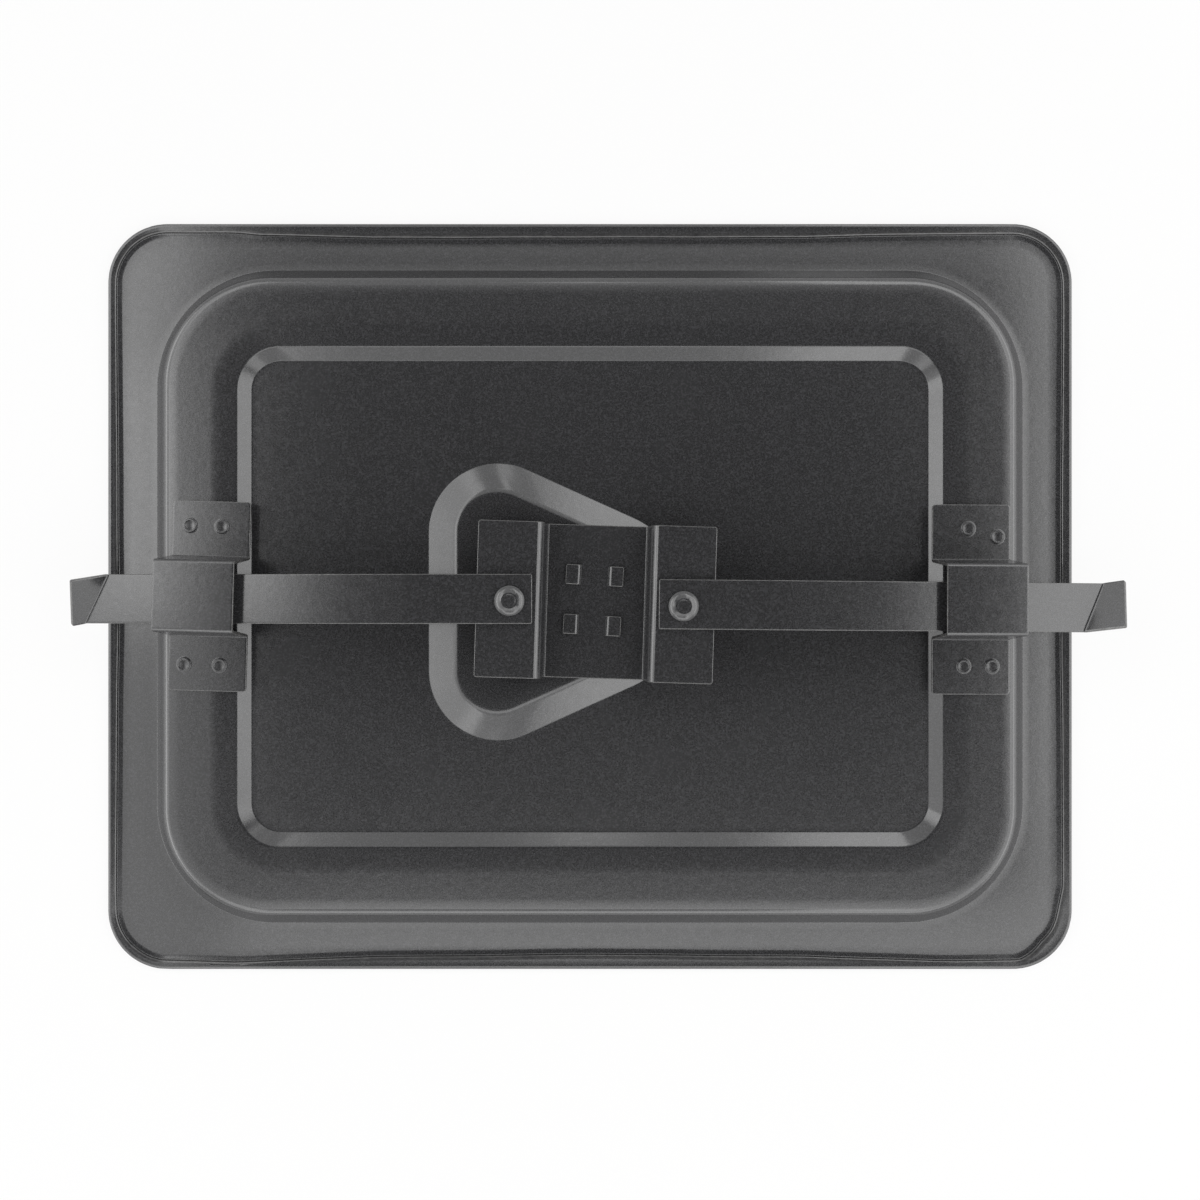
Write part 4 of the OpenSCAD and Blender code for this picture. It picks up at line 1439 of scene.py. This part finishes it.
def rivet_rings(side: Side) -> list[FlatRing]:
    """The spacer between one rivet's crank and strap, and the burr washer under its tail."""
    stack = (
        ("spacer", side.bolt, 2.55, 5.6, STRAP_LOW - SPACER_T, STRAP_LOW),
        ("burr", Body.CRANK, 2.5, 4.85, CRANK_HIGH - BURR_T, CRANK_HIGH),
    )
    return [
        FlatRing(
            f"{side.word}_{kind}_ring", f"{side.word}_{kind}_washer", body, "washer_steel",
            r_in, r_out, low, high, rivet=side,
        )
        for kind, body, r_in, r_out, low, high in stack
    ]


@dataclass
class Bearing:
    """Flanged sleeve that lines the panel's hole.

    Attributes:
        r_in, sleeve, flange: radii of the bore, of the sleeve and of the flange.
        low, seat, high: heights of the sleeve's end, of the plateau and of the flange's top.
        seam: height in the bore at which the section's loop starts.
    """

    r_in: float = 12.05
    sleeve: float = SLEEVE_R
    flange: float = 16.0
    low: float = 6.7
    seat: float = 7.5
    high: float = 8.1
    seam: float = 7.4

    def dress(self, finish: bpy.types.Material) -> None:
        """Revolves the sleeve's L-shaped section and hangs it on the lid."""
        loop = fillet_path(
            [(self.r_in, self.seam), (self.r_in, self.low), (self.sleeve, self.low),
             (self.sleeve, self.seat), (self.flange, self.seat), (self.flange, self.high),
             (self.r_in, self.high), (self.r_in, self.seam)],
            [0, 0.15, 0.15, 0.05, 0.15, 0.15, 0.2, 0],
            4,
        )[:-1]
        shell = Shell()
        shell.add_grid(revolve(loop, 128, tuple(HUB)), closed=(True, True))
        place(shell.build("flanged_sleeve", finish), Body.LID, "hub_bearing")


# ---------------------------------------------------------------- studio


@dataclass(frozen=True)
class Softbox:
    """Rectangular lamp that faces straight down, or the lid's middle where it stands upright.

    Attributes:
        name: the lamp's name.
        x: the two ends of its span along X, in metres; equal for an upright lamp.
        y: the two ends of its span along Y, in metres.
        level: radiance of its face, 1 being white; reflections add the white world behind it.
    """

    name: str
    x: tuple[float, float]
    y: tuple[float, float]
    level: float


# spans are laid so that unlike flats and slopes of the lid mirror unlike lamps, and each level
# sets how bright those stretches look from above
SOFTBOXES = (
    Softbox("left_inner", (-0.53, -0.34), (-0.02, 0.2), 2.45),
    Softbox("left_inner_high", (-0.53, -0.34), (0.2, 0.9), 1.75),
    Softbox("left_inner_low", (-0.53, -0.34), (-0.45, -0.02), 0.4),
    Softbox("left_middle", (-0.9, -0.53), (-0.9, 0.9), 1.1),
    Softbox("left_outer", (-1.7, -0.9), (-0.9, 0.9), 2.9),
    Softbox("right_inner", (0.373, 0.6), (-0.2, 0.9), 1.85),
    Softbox("right_inner_low", (0.373, 0.6), (-0.9, -0.2), 1.3),
    Softbox("right_middle", (0.6, 0.9), (-0.9, 0.9), 1.3),
    Softbox("right_outer", (0.9, 1.7), (-0.9, 0.9), 2.4),
    Softbox("front_inner", (-0.31, 0.37), (-0.25, -0.1), 0.95),
    Softbox("front_middle", (-0.31, 0.37), (-0.45, -0.25), 1.15),
    Softbox("front_outer", (-0.9, 0.9), (-3.0, -0.85), 1.6),
    Softbox("front_left", (-0.56, -0.34), (-1.2, -0.45), 1.9),
    Softbox("front_right", (0.21, 0.38), (-1.2, -0.4), 2.2),
    Softbox("back_right", (0.21, 0.38), (0.4, 1.2), 2.2),
    Softbox("back_middle", (-0.05, 0.05), (0.6, 0.85), 1.6),
    Softbox("left_wall", (-1.7, -1.7), (-1.6, 1.6), 0.6),
    Softbox("right_wall", (1.7, 1.7), (-1.6, 1.6), 0.75),
)


@dataclass
class Studio:
    """Pale floor, a ceiling of soft boxes round a dark card, and an upright lamp at each end.

    Attributes:
        height: height of the camera above the hem's seat, in metres like all sizes here.
        lens: focal length in millimetres, on a sensor 36 wide.
        shift: the lens's shift, as shares of the image's width.
        ceiling: height of the lamps and the card.
        card_x, card_y: spans of the card.
        floor_half, floor_z: half the floor's width, and its height.
        floor_glow: how much of the floor's own white shows to the eye.
        fill: strength of the world's light that isn't seen or reflected.
    """

    height: float = 0.2876
    lens: float = 31.81
    shift: tuple[float, float] = (0.00833, -0.0029)
    ceiling: float = 0.62
    card_x: tuple[float, float] = (-0.31, 0.37)
    card_y: tuple[float, float] = (-0.25, 0.275)
    floor_half: float = 4.0
    floor_z: float = -0.0002
    floor_glow: float = 0.85
    fill: float = 0.25

    def soft_light(self, box: Softbox) -> None:
        """Adds a lamp; its power is level x pi x area, so that its face has that radiance."""
        lamp = bpy.data.lights.new(box.name, "AREA")
        lamp.shape = "RECTANGLE"
        upright = box.x[0] == box.x[1]
        lamp.size = self.ceiling if upright else box.x[1] - box.x[0]
        lamp.size_y = box.y[1] - box.y[0]
        lamp.energy = box.level * math.pi * lamp.size * lamp.size_y
        made = bpy.data.objects.new(box.name, lamp)
        made.location = (sum(box.x) / 2, sum(box.y) / 2, self.ceiling / (2 if upright else 1))
        if upright:
            made.rotation_euler = (0.0, math.copysign(math.pi / 2, box.x[0]), 0.0)
        bpy.context.scene.collection.objects.link(made)

    def plain(
        self, name: str, x: tuple[float, float], y: tuple[float, float], z: float
    ) -> bpy.types.Object:
        """Makes a rectangular sheet that faces up."""
        mesh = bpy.data.meshes.new(name)
        corners = [(x[0], y[0], z), (x[1], y[0], z), (x[1], y[1], z), (x[0], y[1], z)]
        mesh.from_pydata(corners, [], [(0, 1, 2, 3)])
        made = bpy.data.objects.new(name, mesh)
        bpy.context.scene.collection.objects.link(made)
        return made

    def backdrop_fac(self, tree: bpy.types.NodeTree) -> bpy.types.NodeSocket:
        """Tells rays that show the background: camera, glossy and transmission rays."""
        path = add_node(tree, "ShaderNodeLightPath")
        fac = path.outputs["Is Camera Ray"]
        for ray in ("Is Glossy Ray", "Is Transmission Ray"):
            inputs = {0: fac, 1: path.outputs[ray]}
            fac = add_node(tree, "ShaderNodeMath", {"operation": "MAXIMUM"}, inputs).outputs[0]
        return fac

    def floor(self) -> None:
        """Lays a pale floor that shows nearly white and keeps a soft shadow."""
        span = (-self.floor_half, self.floor_half)
        sheet = self.plain("floor", span, span, self.floor_z)
        made = bpy.data.materials.new("pale_floor")
        made.use_nodes = True
        tree = made.node_tree
        tree.nodes.clear()
        paper = add_node(tree, "ShaderNodeBsdfDiffuse", {}, {"Color": linear("#efefee")})
        glow = add_node(tree, "ShaderNodeEmission", {}, {"Color": (1, 1, 1, 1), "Strength": 1.0})
        inputs = {0: self.backdrop_fac(tree), 1: self.floor_glow}
        fac = add_node(tree, "ShaderNodeMath", {"operation": "MULTIPLY"}, inputs).outputs[0]
        inputs = {0: fac, 1: paper.outputs[0], 2: glow.outputs[0]}
        mix = add_node(tree, "ShaderNodeMixShader", {}, inputs)
        add_node(tree, "ShaderNodeOutputMaterial", {}, {"Surface": mix.outputs[0]})
        sheet.data.materials.append(made)

    def world(self) -> None:
        """White behind everything to the eye and in reflections, dim for all other light."""
        world = bpy.data.worlds.new("studio")
        bpy.context.scene.world = world
        world.use_nodes = True
        tree = world.node_tree
        tree.nodes.clear()
        fac = self.backdrop_fac(tree)
        shades = [
            add_node(tree, "ShaderNodeBackground", {}, {"Color": (1, 1, 1, 1), "Strength": strength})
            for strength in (self.fill, 1.0)
        ]
        inputs = {0: fac, 1: shades[0].outputs[0], 2: shades[1].outputs[0]}
        mix = add_node(tree, "ShaderNodeMixShader", {}, inputs)
        add_node(tree, "ShaderNodeOutputWorld", {}, {"Surface": mix.outputs[0]})

    def card(self) -> None:
        """Hangs a dark card above the camera, which the flat faces reflect."""
        sheet = self.plain("dark_card", self.card_x, self.card_y, self.ceiling)
        made = bpy.data.materials.new("black_felt")
        made.use_nodes = True
        shader = made.node_tree.nodes["Principled BSDF"]
        shader.inputs["Base Color"].default_value = linear("#2c2c2c")
        shader.inputs["Roughness"].default_value = 0.9
        sheet.data.materials.append(made)
        sheet.visible_camera = False
        sheet.visible_shadow = False

    def camera(self) -> None:
        """Sets the camera straight above the lid."""
        eye = bpy.data.cameras.new("eye")
        eye.sensor_fit = "HORIZONTAL"
        eye.sensor_width = 36.0
        eye.lens = self.lens
        eye.shift_x, eye.shift_y = self.shift
        eye.clip_start = 0.01
        made = bpy.data.objects.new("eye", eye)
        made.location = (0.0, 0.0, self.height)
        bpy.context.scene.collection.objects.link(made)
        bpy.context.scene.camera = made

    def build(self) -> None:
        """Builds floor, world, lights, card and camera, and keeps colours as written."""
        bpy.context.scene.view_settings.view_transform = "Standard"
        self.floor()
        self.world()
        self.card()
        self.camera()
        for box in SOFTBOXES:
            self.soft_light(box)


# ---------------------------------------------------------------- main


def main() -> None:
    """Builds every sub-assembly in order, then the studio."""
    logging.basicConfig(level=logging.INFO, format="%(name)s: %(message)s")
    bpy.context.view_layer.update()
    panel = BlackEnamel("panel_enamel").build()
    guide = BlackEnamel("guide_enamel", rub_and_sheen=0.7).build()
    crank = BlackEnamel("crank_enamel", rub_and_sheen=0.7).build()
    strap = BlackEnamel("bolt_enamel", rub_and_sheen=0.75).build()
    rivet = BlackEnamel("rivet_enamel").build()
    hub = BlackEnamel("hub_enamel", rub_and_sheen=0.8).build()
    wire = BlackEnamel("bail_enamel").build()
    washer = PlainSteel("washer_steel").build()
    spring = PlainSteel("spring_steel", clean="#6c7079", stained="#4f5056", rough=0.3).build()

    PressedPanel().dress(panel)
    left_buttons = ((-5.6, 18.5), (2.8, 18.4), (-6.2, -18.2), (3.2, -18.2))
    right_buttons = ((-0.9, 18.7), (6.8, 16.6), (-2.0, -17.6), (5.5, -17.6))
    BoltGuide(Side.LEFT, (-100.5, 0.1), -1.6, buttons=left_buttons).dress(guide)
    BoltGuide(Side.RIGHT, (100.65, -0.8), -0.2, buttons=right_buttons).dress(guide)
    CrankPlate().dress(crank)
    HandleHub().dress(hub)
    WireBail().dress(wire)
    StrapBolt(Side.LEFT, turn=0.0, wing=5.9, bend=56.0, skew=26.0).dress(strap)
    StrapBolt(Side.RIGHT, turn=-0.5, wing=7.4, bend=54.0, skew=22.0).dress(strap)
    for side in Side:
        Rivet(side).dress(rivet)
    Bearing().dress(washer)
    for ring in hub_rings():
        ring.dress(spring if ring.slot == "spring_steel" else washer)
    for side in Side:
        for ring in rivet_rings(side):
            ring.dress(washer)
    Studio().build()


if __name__ == "__main__":
    main()
